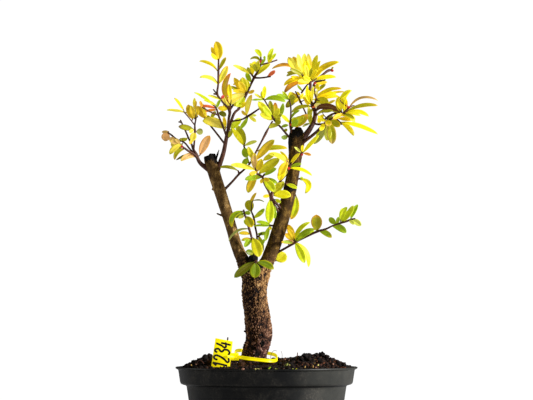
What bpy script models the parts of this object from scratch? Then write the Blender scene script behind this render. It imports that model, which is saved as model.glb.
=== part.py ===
"""Pomegranate bonsai in a nursery pot, with its soil and its label tie.

Metres, +Z up. The origin is the centre of the pot's underside, +X is to the right and +Y points
away from the side that the tree is mostly seen from. Routes of stems and places of leaves are
listed in millimetres and scaled once, when they are read.
"""
import math
import random

import bmesh
import bpy
from mathutils import Matrix, Vector

MM = 0.001
GAP = 0.0003
MERGE = 0.000002

# Pot
POT_LIP_RADIUS = 0.0911
POT_LIP_TOP = 0.1435
POT_WALL = 0.0019
POT_COLLAR_TOP_RADIUS = 0.0884
POT_COLLAR_FOOT_RADIUS = 0.0862
POT_COLLAR_TOP = 0.1408
POT_COLLAR_FOOT = 0.1275
POT_BODY_TOP_RADIUS = 0.0800
POT_BODY_TOP = 0.1240
POT_BASE_RADIUS = 0.0615
POT_FLOOR = 0.0050
POT_STEP = (0.0016, 0.0014)
POT_LEDGE = (0.0006, 0.0008)
LIP_BEAD = 0.0016
LIP_TOP_WIDTH = 0.0015
RECESS_SLOPE = 0.0010
POT_SEGMENTS = 40
STANDING_RING_WIDTH = 0.0040
CENTRE_DISC_RADIUS = 0.0300
RECESS_DEPTH = 0.0030
DRAIN_HOLES = 8
DRAIN_HOLE_RADIUS = 0.0040
DRAIN_CIRCLE_RADIUS = 0.0440

# Soil
SOIL_SEGMENTS = 36
SOIL_RINGS = 10
SOIL_EDGE = 0.1432
SOIL_LUMP = 0.0010
SOIL_FRONT = -0.085
SOIL_BACK = 0.095
SOIL_CREST_FRONT = 0.012
SOIL_CREST_BACK = 0.020
SOIL_FRONT_POWER = 1.4
SOIL_LEVEL_RADIUS = 0.0875
SOIL_LEVEL_POWER = 8
SOIL_RING_POWER = 0.85
SOIL_INSET = (0.0002, 0.0003)
SOIL_SHOULDER = 0.0010
# Height of the mound's crest above the edge against x, both in millimetres
SOIL_CREST = (
    (-91, 0.0), (-80, 3.0), (-70, 6.6), (-59, 10.6), (-50, 9.0), (-38, 6.0), (-12, 6.0),
    (12, 6.0), (24, 7.0), (37, 11.2), (54, 12.0), (64, 9.6), (74, 5.8), (84, 1.6), (91, 0.0),
)

# Trunk's foot in the soil
FOOT_X = -0.0123
FOOT_BOTTOM = 0.1120
FOOT_HOLE_RADIUS = 0.0143

# Wood: x, y, z and radius of each ring, in millimetres
TRUNK = (
    (-12.3, 0, 112, 13.2), (-12.3, 0, 130, 13.3), (-12.3, 0, 151, 13.5), (-12.2, 0, 155, 12.9),
    (-10.9, 0, 160, 13.2), (-8.4, 0, 168.5, 12.9), (-7.5, 0, 177, 13.6), (-8.3, 0, 185, 13.6),
    (-9.1, 0, 193.5, 13.0), (-10.5, 0, 202, 12.7), (-11.5, 0, 210, 12.6), (-12.0, 0, 219, 12.8),
    (-11.3, 0, 227.6, 13.1), (-11.3, 0, 234, 13.2), (-11.3, 0, 241, 12.6), (-11.2, 0, 248, 10.0),
)
LEFT_LIMB = (
    (-14.6, 0, 226, 8.6), (-17.8, 0.4, 238, 8.6), (-20.6, 0.8, 244, 7.9), (-24.6, 1, 252, 6.2),
    (-28.0, 1.4, 260, 5.6), (-31.8, 1.9, 270, 5.3), (-34.5, 2.6, 280, 5.2), (-37.4, 3.3, 290, 5.3),
    (-40.4, 4.1, 300, 5.5), (-43.7, 4.9, 310, 5.6), (-46.8, 5.7, 320, 5.7), (-50.0, 6.5, 330, 5.8),
    (-53.2, 7.2, 340, 6.0), (-55.8, 7.9, 348, 6.2), (-57.4, 8.2, 354.6, 5.4),
)
RIGHT_LIMB = (
    (-6.5, 0, 226, 8.2), (-4.6, 0, 236, 8.2), (-2.4, 0, 243, 7.9), (2.0, 0, 251, 6.8),
    (3.6, -0.1, 255, 6.8), (7.0, -0.5, 264, 6.8), (10.2, -1, 274, 6.8), (13.6, -1.5, 284, 6.8),
    (17.0, -2, 296, 6.8), (20.2, -2.6, 308, 6.5), (23.4, -3.2, 320, 6.2), (25.8, -3.8, 332, 6.1),
    (27.6, -4.4, 344, 6.1), (28.8, -5, 356, 6.6), (29.6, -5.6, 367, 7.9), (29.9, -6, 374, 7.5),
    (30.2, -6, 380.4, 6.0),
)
# Cut stubs, knots, thorns and spikes that belong to the wood
WOOD_DETAILS = (
    ((-13.4, -2, 240, 5.0), (-13.2, -5, 254.4, 4.4)),
    ((31.5, -6, 374, 4.0), (31.8, -6, 382.6, 3.2)),
    ((-54.5, 7.6, 348, 4.0), (-54.2, 7.6, 356.4, 3.2)),
    ((24.4, -4.2, 318.5, 5.6), (23.4, -4.4, 322.5, 6.4), (24.4, -4.2, 326.8, 5.6)),
    ((-41, 3, 293.6, 1.0), (-46.5, 2.2, 295.5, 0.8), (-49.8, 1.6, 296.9, 0.5)),
    ((-52.5, 6, 344, 1.1), (-50.4, 4.4, 352, 0.8), (-47.4, 3, 360.6, 0.5)),
    ((-49, 5, 320, 1.6), (-54.4, 4, 321.4, 1.0)),
    ((-16, -2, 178, 2.4), (-22.6, -3, 179, 1.0)),
    ((-3, -1, 240, 2.0), (4.4, -2, 240.6, 1.2)),
)
WOOD_SIDES = 14
WOOD_LUMP = 0.022
WOOD_GAP = 1.3 * GAP

# Leaves: lengths in millimetres, and blade stations as share of the length and of the half width
BLADE_THICKNESS = 0.0011
STALK_HALF = 0.00045
SHORT_STALK = 1.6
FOLD = 0.16
WIDEST_TURNED = 6.5
SLENDERNESS = 0.30
DEPTH_LEAN = 0.38
GOLDEN_ANGLE = 2.39996
LONG_FROM = 19.0
SHORT_BLADE = ((0.30, 0.94), (0.70, 0.88))
LONG_BLADE = ((0.20, 0.78), (0.50, 1.0), (0.80, 0.76))
TWIG_SIDES = 5

# Label tie: a plate on a strap that loops round the trunk's foot
PLATE_CORNERS = ((-50.7, 173.2), (-33.5, 169.8), (-37.2, 144.3), (-55.0, 144.3))
PLATE_Y = -0.0460
PLATE_LEAN = 0.0030
PLATE_THICKNESS = 0.0013
STRAP_HEIGHT = 0.0042
STRAP_THICKNESS = 0.0014
LOOP_CENTRE = (-0.0104, -0.0120)
LOOP_HALF = (0.0208, 0.0345)
LOOP_SQUARENESS = 3.5
LOOP_SEGMENTS = 36
LOOP_LEVEL = 0.1549
LOOP_SLOPE_X = -0.115
LOOP_SLOPE_Y = 0.088
HEAD_CENTRE = (-0.0314, -0.0390, 0.1546)
HEAD_SIZE = (0.0078, 0.0056, 0.0074)
NECK = ((-33.4, -40.4, 154.2, 2.2), (-39.0, -44.6, 154.6, 2.2))
# Where the soil stays below the tie: round the loop, as share of its half size, and under the plate
LOOP_BAND = (0.55, 1.4)
PLATE_BAY_X = (-0.066, -0.024)
PLATE_BAY_Y = (-0.058, -0.032)

# Each shoot: its stems, from inside the wood outwards, as x, y, z and radius in millimetres, and
# its leaves.
# A leaf is foot x, foot z, tip x, tip z, the width seen from the front, how far the middle bows
# to the left of the way from foot to tip and, where it is set by hand, how far the tip leans in y.
SHOOTS = {
    "left_outer_shoot": (
        (
            ((-56, 7, 339, 2.6), (-61, 6.5, 343, 2.5), (-66, 6, 347, 2.1), (-68.5, 5.5, 351, 1.8),
             (-69.6, 5, 355, 1.5), (-73, 4, 360.5, 1.3), (-75, 8, 366, 1.0), (-77.5, 12, 371, 0.9),
             (-81, 17, 379, 0.85), (-86.4, 24, 390.5, 0.8)),
            ((-85.2, 22.6, 388, 0.7), (-88.2, 23.6, 388.8, 0.8)),
            ((-73, 4, 360.5, 1.1), (-72.2, 1, 368, 0.95), (-71.5, -3, 379, 1.2),
             (-71.6, -6, 385, 0.85), (-70.4, -9, 393.4, 0.8), (-72.4, -12, 403, 0.6)),
            ((-70.6, -8.6, 392.8, 0.9), (-68.4, -9, 393.7, 0.8)),
            ((-71.6, -6, 385, 0.7), (-77.4, -12, 392.4, 0.6), (-82.4, -17, 398.2, 0.6)),
            ((-69, 5.2, 352, 1.6), (-72.6, 3, 356, 1.4), (-77, -1, 358.6, 1.2),
             (-81, -5, 361.4, 1.1), (-85, -9, 364.4, 0.9)),
            ((-73.4, 3, 357.6, 1.0), (-77, 7, 361.6, 0.9), (-82.5, 10, 368, 0.9),
             (-90.6, 13, 371.6, 0.9), (-96, 15, 376, 0.9), (-101, 17, 379, 0.8)),
        ),
        (
            (-101, 379, -102, 369.3, 7.6, 0.4), (-91, 370.5, -94.5, 363.2, 5, 0),
            (-91, 371, -98, 370.4, 3.4, -0.8), (-86.4, 368.6, -84.8, 372.4, 3, 0),
            (-84, 369, -79.2, 372, 2.6, 0.3), (-84.5, 366, -96.7, 355.8, 5, -1.6, -5),
            (-81.4, 361.4, -91.8, 350.3, 3.8, -3.2, -4), (-73, 356.4, -90.6, 350.2, 2, -0.8, 3),
            (-68.6, 353.6, -85.8, 349.2, 4.8, -3.2, -6), (-66.7, 355, -56.6, 374.8, 7.6, 0.8, -6),
            (-72.6, 380.4, -88, 383.7, 5, -0.6, -4), (-71.6, 378.2, -74.6, 369.4, 6, 0, -5),
            (-70.4, 378.6, -63.4, 378.8, 5.6, 0, 3), (-73.4, 391, -78.2, 405.8, 6, 0.8, 4),
            (-72.6, 403, -71.8, 412.4, 2.5, 0), (-71.6, 401, -70.2, 409.4, 2.2, 0),
            (-80, 397.4, -99.8, 400.2, 2, -0.8), (-82.4, 399.4, -92, 412.2, 2.2, -0.6),
        ),
    ),
    "left_main_shoot": (
        (
            ((-50.4, 7.5, 337, 2.8), (-47, 7, 346, 2.6), (-43.3, 6.5, 356.8, 2.2),
             (-40.6, 6, 370, 2.0), (-38.8, 6, 379, 1.8), (-34.8, 9, 391, 1.5),
             (-31.7, 11, 398, 1.4), (-27.4, 13, 402, 1.3), (-20, 17, 417, 1.4),
             (-15.6, 20, 426.5, 1.1), (-12.5, 22, 433, 1.4), (-8.5, 23, 440, 0.9),
             (-5.8, 24, 446, 0.9), (-5.8, 25, 454, 0.8)),
            ((-38.8, 6, 379, 1.5), (-37.9, 2, 391, 1.3), (-37, -1, 400, 1.7), (-40, -2, 404, 1.1),
             (-42.5, -5, 406.5, 0.95), (-47, -8, 412.5, 0.95), (-49, -10, 415.5, 1.2),
             (-48.3, -12, 425, 1.1), (-48, -15, 439, 1.2), (-47.8, -17, 450.4, 0.9)),
            ((-37, -1, 400, 1.2), (-36, 1, 405.4, 0.9)),
            ((-37, -1, 400, 1.3), (-33, 0.5, 405.8, 1.0)),
            ((-28, 12.7, 401, 1.1), (-28.8, 12.4, 403, 0.9)),
            ((-49, -10, 415.5, 0.8), (-53.2, -8, 420.8, 0.7)),
            ((-49, -10, 415.5, 0.9), (-52.8, -11, 416.5, 0.9)),
            ((-41.6, 6, 366, 1.0), (-48, 14, 374.5, 1.0), (-57, 24, 386, 0.9), (-61.4, 29, 392, 0.9)),
            ((-39.8, 5.4, 374, 1.3), (-42.5, -2, 381, 1.1), (-46, -10, 390, 0.9),
             (-48, -14, 395, 1.2), (-50, -15.5, 401.5, 0.9), (-52.6, -17, 404.8, 0.7)),
            ((-48, -14, 395, 0.9), (-56, -18, 398.2, 0.8), (-64, -22, 402.6, 0.8)),
            ((-35.4, 8.6, 389, 0.9), (-24.5, 3, 391, 0.8), (-19.5, 0, 393.6, 1.2), (-5, -6, 403, 0.8)),
            ((-12.5, 22, 433, 1.1), (-6, 20.6, 432.8, 0.85), (4.3, 18, 434.2, 0.8)),
            ((-5.8, 24, 446, 0.9), (2, 26, 448, 0.8), (10.8, 29, 451, 0.7)),
            ((-12.5, 22, 433, 1.1), (-16.6, 20, 438.2, 0.8)),
        ),
        (
            (-61.6, 392, -71.2, 404.4, 6.6, -0.6, 4), (-56, 392, -60.4, 394.6, 3, 0, 2),
            (-40.6, 381.5, -64, 389.2, 8.6, -2.6, -9), (-50.4, 401.4, -66.8, 403.6, 2.2, -0.8, 5),
            (-49.4, 400, -61.2, 398.4, 2.2, -0.6, 4), (-64, 402.4, -66.2, 409.2, 2.6, 0),
            (-48, 397, -40.4, 393.8, 4.6, 1.0, -3), (-49.6, 402, -46, 410.4, 2.6, 0.4, -2),
            (-52.8, 404, -72.2, 417.6, 2.2, -1.4), (-50.2, 404.4, -62.8, 409.6, 1.8, -0.8),
            (-44.6, 409.8, -58.6, 414.6, 1.8, -0.6), (-45.6, 411.6, -42.2, 414.8, 2.4, 0),
            (-48.2, 425.4, -66.8, 432.6, 3.2, -3.0, -5), (-48, 426, -38.8, 444.2, 5.6, 0, -4),
            (-49, 439, -67.2, 449, 2.6, -2.2, 5), (-46.8, 440.6, -40.4, 452.8, 3.2, 0.4, 4),
            (-47.6, 450, -50.7, 468.6, 8, -1.4, 2), (-48.2, 450.2, -55, 463.2, 4, 0.4, 5),
            (-48.4, 450, -55, 456.6, 3, 0.6, -5), (-37.4, 407, -35.8, 437.2, 5, 5.4, -4),
            (-21, 416, -43.4, 403.2, 8, -2.4, -12), (-22, 414.6, -30.6, 403.8, 6, 0.6, -7),
            (-19, 417.6, -12.2, 420.5, 3, -0.5), (-20.2, 418, -24, 433.2, 8, 0.6, -4),
            (-20.6, 419.4, -32.8, 433.2, 4.2, 0.6, 6), (-20, 420.6, -33.8, 426, 3, -3.4, 8),
            (-21.4, 419, -36.7, 424.2, 3.2, 0.8, -3), (-21.6, 418, -31, 419, 2.4, 0.6, 2),
            (-15.4, 436.4, -33.4, 445.2, 3.2, -0.8), (-15.2, 428.4, -20, 438.4, 4.2, 0.6),
            (-14, 434.6, -11, 449.7, 5, 1.6), (-16.2, 437.6, -19.2, 443.4, 3, 0),
            (-11.4, 434.6, 3.9, 447.5, 4.4, 0.8), (1.4, 433.8, 8.9, 439.2, 3.2, -0.4),
            (-5.6, 453, -12, 460.8, 4, -1.8), (-6, 447.4, -16.6, 451.6, 2.2, -4.0),
            (-6, 446.6, -10.7, 441.2, 4, 0.4), (1.6, 448.4, 6.8, 463, 4, 0.8),
            (4.2, 449.6, 9.8, 457.6, 2.6, 0.5), (-19.8, 394.6, -14.6, 415.6, 4.6, 0.9, -7),
            (-27.2, 402.2, -21.4, 412, 2.6, 0), (-20, 394.6, -24.8, 399.8, 2.6, 0.3),
            (-18, 393.6, -10.3, 388.3, 3, 0.6), (-17.6, 394, -9.8, 394.7, 2.2, 0.6),
            (-18.6, 393, -26.8, 381.2, 3.6, 0.5, -3), (-35.4, 380.6, -25.2, 392, 6, 0.8, 6),
        ),
    ),
    "left_mid_shoot": (
        (
            ((-45.4, 6.5, 317.4, 1.7), (-40.8, 8, 322, 1.4), (-34, 10, 329, 1.2),
             (-27.4, 13, 336.4, 1.2), (-22.9, 15, 340.4, 1.0), (-15.8, 18, 348, 1.0),
             (-10.4, 21, 358.7, 1.0), (-5.2, 22, 368.6, 1.0), (-0.6, 23, 377.5, 1.4),
             (2, 23, 382.4, 0.9), (6.2, 23, 389.6, 0.9)),
            ((-27.4, 13, 336.4, 1.0), (-28.4, 12, 339.6, 0.8)),
            ((-17.2, 17.4, 346.6, 0.9), (-20.4, 15, 356, 0.8), (-22.6, 12, 364.6, 0.9)),
        ),
        (
            (-28.6, 339.6, -46.4, 342.6, 2.6, -1.6, -18), (-22.9, 365, -34.8, 382.2, 4.6, 0, -5),
            (-22, 365, -31, 385.2, 6.2, -2.0, 3), (-22, 363, -19.2, 352.8, 6.5, -0.6, -5),
            (-22, 364.6, -9.4, 369.2, 3, 0.6, -4), (-18.6, 352.4, -24.4, 345.3, 5, 0.4, -6),
            (-10, 359, 21.2, 362.3, 4.2, 1.4, 4),
        ),
    ),
    "head_left_twig": (
        (
            ((26.6, -6, 368.6, 1.2), (21.4, -9, 374.4, 1.2), (14.2, -13, 383, 1.1),
             (8.4, -17, 389, 0.9), (6.2, -19, 393, 1.1), (1, -21, 404.6, 0.8), (-2.4, -22, 410.6, 0.7)),
        ),
        (
            (6, 393, -8.2, 408.6, 7, 0.8, -4), (6.3, 393.4, 3.4, 409.6, 4.6, 0.2, 4),
            (8.2, 390.4, 8.6, 407.8, 4.6, -0.4, 5), (8.6, 390, 16.5, 407, 4.2, -2.4, -3),
            (7.4, 390.4, -5, 399.3, 5.4, 1.2, 3), (8.4, 389.6, 13.6, 386, 5.6, 0.4, -4),
            (8, 390.8, 14.6, 396.6, 5, 0.2, -5), (-1.8, 410, 19, 407.8, 4.6, 3.2, -4),
            (-2.9, 410.4, -4.2, 419, 3.6, 0.2, 3), (-2.5, 411, -1.6, 424, 3.6, 0.2, -3),
            (-3.4, 410.8, -12.2, 416.4, 1.8, 0, 3), (-2.6, 410, -14.6, 409.8, 1.4, 0, -3),
            (12.4, 384.4, 2.4, 382, 4, -1.6, -3), (14.6, 383, 21.8, 384.8, 2.6, 0.5, -3),
            (17.6, 379, 20.8, 381, 2.6, 0, -2), (21, 374.6, 14.8, 373.4, 4, 1.2, -4),
        ),
    ),
    "head_upright_twig": (
        (
            ((27.4, -7, 371, 1.3), (24.8, -10, 379, 1.2), (23.7, -12, 386.6, 1.4),
             (24.1, -14, 392, 0.9), (24.1, -17, 404, 0.8), (22.8, -19, 410.4, 0.7)),
            ((24.6, -10.6, 381.4, 0.9), (27.6, -12, 385.2, 0.9)),
        ),
        (
            (23.4, 387, 14.5, 395.3, 3.2, -0.4, -5), (24.4, 391, 33.2, 399.7, 2, 1.4, 3),
            (26, 383.6, 41, 395.4, 8, -0.6, -9), (23, 410, 10, 415.3, 3.2, -0.8, -4),
            (22.4, 410.6, 15.8, 418.8, 2.6, 0, 3),
        ),
    ),
    "crown_leader": (
        (
            ((30.6, -5.5, 365, 3.6), (36, -5.2, 372, 3.5), (40.5, -4.6, 377.2, 2.9),
             (44.6, -4.2, 383.5, 2.5), (47.5, -3.6, 390, 2.3), (48.5, -3, 398, 1.9),
             (46.6, -2, 403.5, 2.1), (44.6, 0, 409, 1.7), (43.5, 3, 418, 1.5), (44, 5, 426, 1.4),
             (42.8, 6, 432, 1.2)),
            ((46.4, -2, 404.6, 1.2), (49.6, -6, 411, 1.0), (48.2, -8, 417, 1.0),
             (48, -9, 427.2, 1.3), (54, -11, 429.2, 0.85), (58.8, -13, 430.2, 0.7)),
            ((44, 5.4, 428, 0.9), (50, 8, 431.6, 0.9), (56, 12, 435.6, 1.1), (62, 16, 440, 1.4),
             (66, 18, 440.8, 1.0)),
            ((43.6, 5.6, 428, 0.9), (40, 9, 424.6, 0.8), (35, 14, 417.6, 1.0)),
            ((45, -3, 384.6, 1.0), (42, 0, 391, 0.85), (37.5, 5, 401, 0.8), (32.5, 11, 412, 1.1),
             (29, 14, 419.2, 0.7)),
            ((43, 6, 430, 1.1), (38, 3.6, 433.2, 1.0), (33.8, 1.6, 437.6, 1.0)),
            ((46.6, -3.6, 387, 1.1), (52, -6, 385.8, 1.0), (58, -8.6, 386.6, 1.0)),
        ),
        (
            (34, 437, 5.3, 441.4, 2.8, -6.0, -4), (33.6, 437.8, 21.8, 453.2, 7, 0.8, -4),
            (34, 438, 26.2, 453.9, 5, -0.8, 6), (36.4, 435.6, 31.3, 456.4, 5, 0.2, -6),
            (40, 433, 38, 457.2, 6, 0.4, 4), (42.4, 433, 41.6, 456.8, 4.6, -0.4, -5),
            (44, 432, 51, 455.8, 5, 0.4, 3), (44.6, 430.6, 72.8, 448.4, 5, 3.4, -6),
            (47, 430, 69.8, 433.4, 3.8, 1.2, 3), (41.4, 432, 38.8, 445.4, 4, 0, -9),
            (43, 433, 45.2, 442.4, 3, 0, -7), (44.6, 431, 50.2, 440.6, 3.2, 0.2, -8),
            (37, 434.6, 23.4, 441.2, 4, -0.6, -9), (34.4, 436.6, 19.8, 434.4, 2.6, -1.6, 7),
            (34.4, 437, 20.3, 437.6, 2.2, -0.8, 3), (40.6, 431, 17.2, 424.6, 4.2, -2.8, -6),
            (40.8, 430, 17.7, 417.3, 4.8, -4.0, 4), (36.4, 419.4, 31, 425.8, 1.8, 0.5, 3),
            (48.6, 427, 60.8, 428.4, 3.2, -0.5, 3), (48.4, 421, 54.2, 428.4, 3, 0.4, 4),
            (48.6, 417.4, 59.2, 425.8, 3, 0.3, -3), (45.4, 405.6, 41.4, 424.8, 2.8, 3.0, -7),
            (45.2, 407.6, 47, 423.8, 2.2, 0, -11), (49.4, 412, 50.6, 420.8, 2.4, 0, -4),
            (49.2, 413, 75, 421.4, 3.2, 2.6, -7), (49.8, 411.4, 61.2, 416.7, 2.8, 0.6, 4),
            (49.6, 411, 78.4, 418.4, 2, 2.2, 2), (47.6, 405.6, 73.4, 413.4, 3.6, 3.0, 5),
            (47.6, 404.4, 62.4, 408, 5, 0.8, -8), (47, 403.6, 55.2, 404.4, 4.2, 0.8, -6),
            (45.8, 403.4, 25.2, 397.8, 3.2, -3.0, -3), (46.6, 402, 44, 387.8, 3.8, -2.2, -8),
            (43.6, 387, 36, 383.4, 1.8, -0.5, -4), (32, 412.4, 19.5, 402.8, 5.6, -1.0, -6),
            (32, 413, 23.3, 418.2, 3.6, 0.4, 5), (33, 412.4, 37.2, 417.2, 2.2, 0),
            (32.8, 411.4, 34.2, 407, 2.2, 0), (51.6, 386.4, 57.8, 395.2, 3, 2.0, -3),
            (58, 386.8, 61.2, 380.4, 5.8, 0.4, -2),
        ),
    ),
    "right_spray": (
        (
            ((31.6, -6.6, 362, 2.2), (37, -9, 368, 1.8), (44, -13, 373.4, 1.6), (50, -16, 378.4, 1.5),
             (56, -19, 384.6, 1.4), (58.4, -20, 387, 1.4), (62, -22, 389.6, 1.0),
             (66, -24, 392, 1.0), (70, -26, 395.5, 1.0), (77, -29, 396.8, 1.2),
             (79.6, -30, 399.6, 1.3), (81.8, -31, 402, 0.9)),
            ((66, -24, 392, 0.9), (71, -22.6, 390, 0.8), (74.8, -21, 385.4, 0.9)),
        ),
        (
            (74.8, 397.6, 49.6, 402.6, 5.6, -2.8, 6), (73, 396.6, 50.6, 395.4, 2.2, -3.2, 9),
            (74.6, 397.4, 72, 413.4, 5, 1.6, 4), (76.2, 397.6, 76.4, 414, 4.2, -2.2, 3),
            (77.4, 398, 84.8, 419.6, 3.2, 4.2, -3), (82, 402, 111, 409, 2, 6.0, -4),
            (78.6, 397.6, 111, 404.4, 3.2, 3.0, 5), (78.6, 397.2, 101.8, 393.4, 3.6, 3.0, -7),
            (78.4, 396.8, 93.8, 394.3, 2.2, 0.6, 3), (77.2, 395.8, 87.2, 390.8, 2.6, 1.0, -6),
            (76.4, 395.8, 88.2, 387.2, 3.2, 1.6, 5), (76.6, 396, 66, 390.8, 4.2, -0.6, -6),
            (73.4, 388, 111, 375.8, 3.8, 2.4, -4), (73.6, 387.4, 87.2, 374.2, 4.2, 2.0, 5),
            (62, 390.4, 61, 384, 6, 0, -4), (63, 389.4, 73.2, 383.3, 6, 0.6, -5),
            (62.6, 388.6, 65.6, 366, 8.6, 0.6, -3), (59.4, 386, 46.8, 366.3, 5, 1.8, 6),
            (57.4, 385, 49.4, 371.8, 4.2, 0.4, 8), (60, 389.4, 66.2, 394.4, 3.2, 1.0, 4),
        ),
    ),
    "inner_shoot": (
        (
            ((15.4, -3.4, 294, 1.7), (11, -7, 300.4, 1.5), (4.4, -10, 311, 1.3), (3, -11, 317, 1.2),
             (-2.2, -13, 326.6, 1.0), (-4, -14, 333, 1.2), (-9.7, -16, 337.2, 1.0),
             (-10.8, -17, 350, 0.7)),
            ((16, -4.6, 299.6, 1.6), (11.6, -8.6, 305, 1.4), (5, -10.6, 314.6, 1.4),
             (13, -14, 328, 1.1), (21.1, -17, 338.6, 1.1), (22.8, -18, 343.7, 1.5),
             (27.4, -19, 349.5, 0.9), (35.4, -20, 356.6, 1.4)),
            ((-4, -14, 333, 1.0), (-1.8, -15, 336.6, 0.9)),
        ),
        (
            (-2.2, 334.6, 10, 341.8, 4.2, 0.8, -4), (-4.8, 332.6, -21.6, 330.6, 5, -1.2, -4),
            (-9, 336, -18.4, 317.3, 7, -1.4, 3), (-4, 331.8, -6, 327, 3, 0.3, -2),
            (-2.8, 331, 7.6, 318.6, 7.6, 1.0, -4), (-2.2, 331.6, 11.2, 326.5, 3.2, 1.2, 5),
            (-11, 340, -12.1, 357.4, 5.6, 0.6, -4), (-9, 338.6, -4.8, 350.6, 5.2, 0.4, -6),
            (-7.6, 336.6, 13.2, 351.3, 8, 0.8, -8), (-10.4, 350, 8, 370.4, 7, 1.0, -5),
            (-10.6, 340, -36, 345.2, 4.2, -1.2, -5), (-10.2, 338.4, -17.6, 336, 3, 0.5, -3),
            (7, 314.6, 24.4, 314.4, 7.4, 1.6, -5), (7, 316, 17.6, 328.8, 6, 0.4, 3),
            (8.6, 311, 14, 307.4, 3, 0.4, -4), (4.2, 314.4, -3.6, 313.4, 3, -0.4, -2),
            (3.6, 311, 2.8, 286.8, 8, 0.2, -4), (6.6, 307, 8.2, 291.6, 4.2, 0, -3),
            (22.2, 345, 1.4, 356.2, 4.2, -3.0, -3), (21.4, 345.2, 13, 329.2, 6.6, -1.8, -5),
            (22, 342.4, 13.5, 330, 2.4, 0.3, 3), (23.8, 342.6, 35, 346.2, 2.6, 0.8, -2),
            (23.6, 342, 45.4, 334.4, 2.8, 1.6, -3), (22, 345.6, 13.5, 358.9, 2.4, -1.4, 5),
            (23.8, 345.4, 33.2, 356.7, 2.8, 0.8, -4), (36.6, 357, 44.7, 354.9, 2.4, 0.3, -2),
            (34.8, 357.6, 27.8, 363.2, 1.8, 0, -3), (36, 357.8, 36, 365.2, 2.6, 0.2, 3),
            (36.4, 357.6, 52.2, 374.8, 3.4, 0, -8),
        ),
    ),
    "limb_side_leaves": (
        (((26.6, -3.4, 330.8, 1.0), (33.6, -4.4, 331.6, 0.9)),),
        ((33, 331.4, 36.8, 331.8, 3.4, 0, 3), (33.4, 331.8, 38.4, 316.7, 5, 6.4, -3)),
    ),
    "limb_back_leaf": (
        (((23.4, -1, 319, 1.0), (29, 5.2, 315.4, 0.9)),),
        ((29.4, 315, 24, 290.8, 6.2, 2.6, 4),),
    ),
    "limb_knot_leaf": (
        (((23.6, -6, 326.4, 1.0), (19.2, -12.4, 326.6, 0.9)),),
        ((19.8, 326, 30.8, 321.8, 3.4, 0.6, -2),),
    ),
    "limb_inner_leaves": (
        (((11, -2, 284.6, 1.1), (3.6, -4.4, 284.8, 0.9)),),
        (
            (4.2, 285.4, -10.2, 288.4, 3, -0.4, -2), (3.6, 284.2, -12.8, 284.2, 1.8, -0.6, -1),
            (3, 284, -1, 269.4, 4, -0.6, -2), (4, 284, 2.8, 280.6, 2.6, 0.4, -1),
        ),
    ),
    "foot_leaf": (
        (((5.4, 2, 250, 1.0), (9, 9.6, 249.6, 0.9)),),
        ((9.4, 249.6, 19.2, 257, 10.6, -0.4, 2),),
    ),
    "fork_shoot": (
        (
            ((-12, -2, 244, 1.3), (-12.6, -6, 259, 1.1), (-14.7, -9, 272, 1.1),
             (-17.2, -10, 281, 1.3), (-19.5, -11, 288.5, 0.95), (-21.8, -12, 296.5, 1.1),
             (-23, -12, 300.8, 0.9)),
            ((-12.2, -4, 253, 1.1), (-10.4, 1, 263, 0.95), (-9.6, 3, 274, 0.95),
             (-11.6, 5, 285, 1.1), (-12.8, 6, 292.6, 1.1), (-15.4, 8, 299.4, 0.8)),
            ((-9.8, 3, 272.6, 0.9), (-4.6, 2, 277, 0.8)),
        ),
        (
            (-22.6, 299, -34.5, 283, 4.6, -5.6, -1), (-21.8, 296.6, -30.8, 292.2, 4.2, -1.4, -1),
            (-20.8, 294, -14.6, 283, 7.6, 0.6, -4), (-13, 292.6, -2.1, 301.8, 4, -0.8, 4),
            (-15.2, 298.6, -18.4, 310.3, 8, 0.2, 4), (-15.2, 299, -10.1, 317.8, 2.8, 2.2, 7),
            (-15.8, 276, -27.7, 277, 3.2, -0.8, -2), (-17.4, 281.4, -37.8, 269.3, 1.8, -3.4, -1),
            (-14.8, 271.4, -25.2, 270, 2.8, -0.6, -1), (-14.6, 270.6, -22, 263.2, 4.2, -0.8, -2),
            (-13.6, 272.6, -7.5, 253.4, 9.6, 0.8, -8), (-7.6, 274.6, -4.6, 257.6, 5, 0.4, 5),
            (-12.4, 256, -20.6, 259, 5, -0.6, -5),
        ),
    ),
    "fork_front_tuft": (
        (((-10.8, -6, 249.4, 1.4), (-10.6, -16.6, 248.4, 1.3)),),
        (
            (-11.6, 248.4, -32.2, 232.8, 7, -0.9, 1), (-10.7, 247.6, -11.8, 232.6, 9.6, 0, -3),
            (-9.6, 248.2, 7.2, 241, 6, 2.0, -1),
        ),
    ),
    "right_lower_shoot": (
        (
            ((6.6, -1, 255.4, 1.4), (12.9, -1.6, 258.8, 1.2), (20, -3.6, 262.8, 1.1),
             (27.4, -6, 267.2, 1.4), (31.3, -7.6, 269.5, 1.0), (40, -11, 273.7, 0.95),
             (50, -14, 278.6, 1.3), (60, -18, 281.7, 1.0), (65, -20, 284.2, 0.8),
             (71, -21.4, 286.4, 0.95), (75.4, -22.4, 287.8, 1.1), (80, -23.6, 289.2, 1.1),
             (84, -24.6, 290.8, 1.0), (88.4, -26, 291.8, 0.7)),
        ),
        (
            (27.2, 268.6, 21.4, 285.8, 6, -0.6, 5), (27.8, 268.6, 43.8, 288.2, 3.6, 3.4, 6),
            (28.6, 268.6, 49.4, 280.8, 3, 3.0, -4), (29, 268.6, 44.4, 278, 2.6, 0.8, -8),
            (28.6, 267.6, 38, 247.3, 7, 0.6, -5), (29.6, 268, 42, 243.1, 4.2, 4.0, 5),
            (27, 267.4, 14.7, 268.2, 3, -0.5, -6), (50.4, 279.4, 49.6, 295.8, 10, 0, -2),
            (52, 279.6, 65, 272.7, 5, 1.4, -4), (69.4, 286.2, 62.6, 292.8, 5, 0.3, 3),
            (69.6, 286.4, 72, 293.6, 3.2, -0.3, -3), (65, 284.4, 79.4, 277.3, 6, 2.0, -3),
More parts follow.
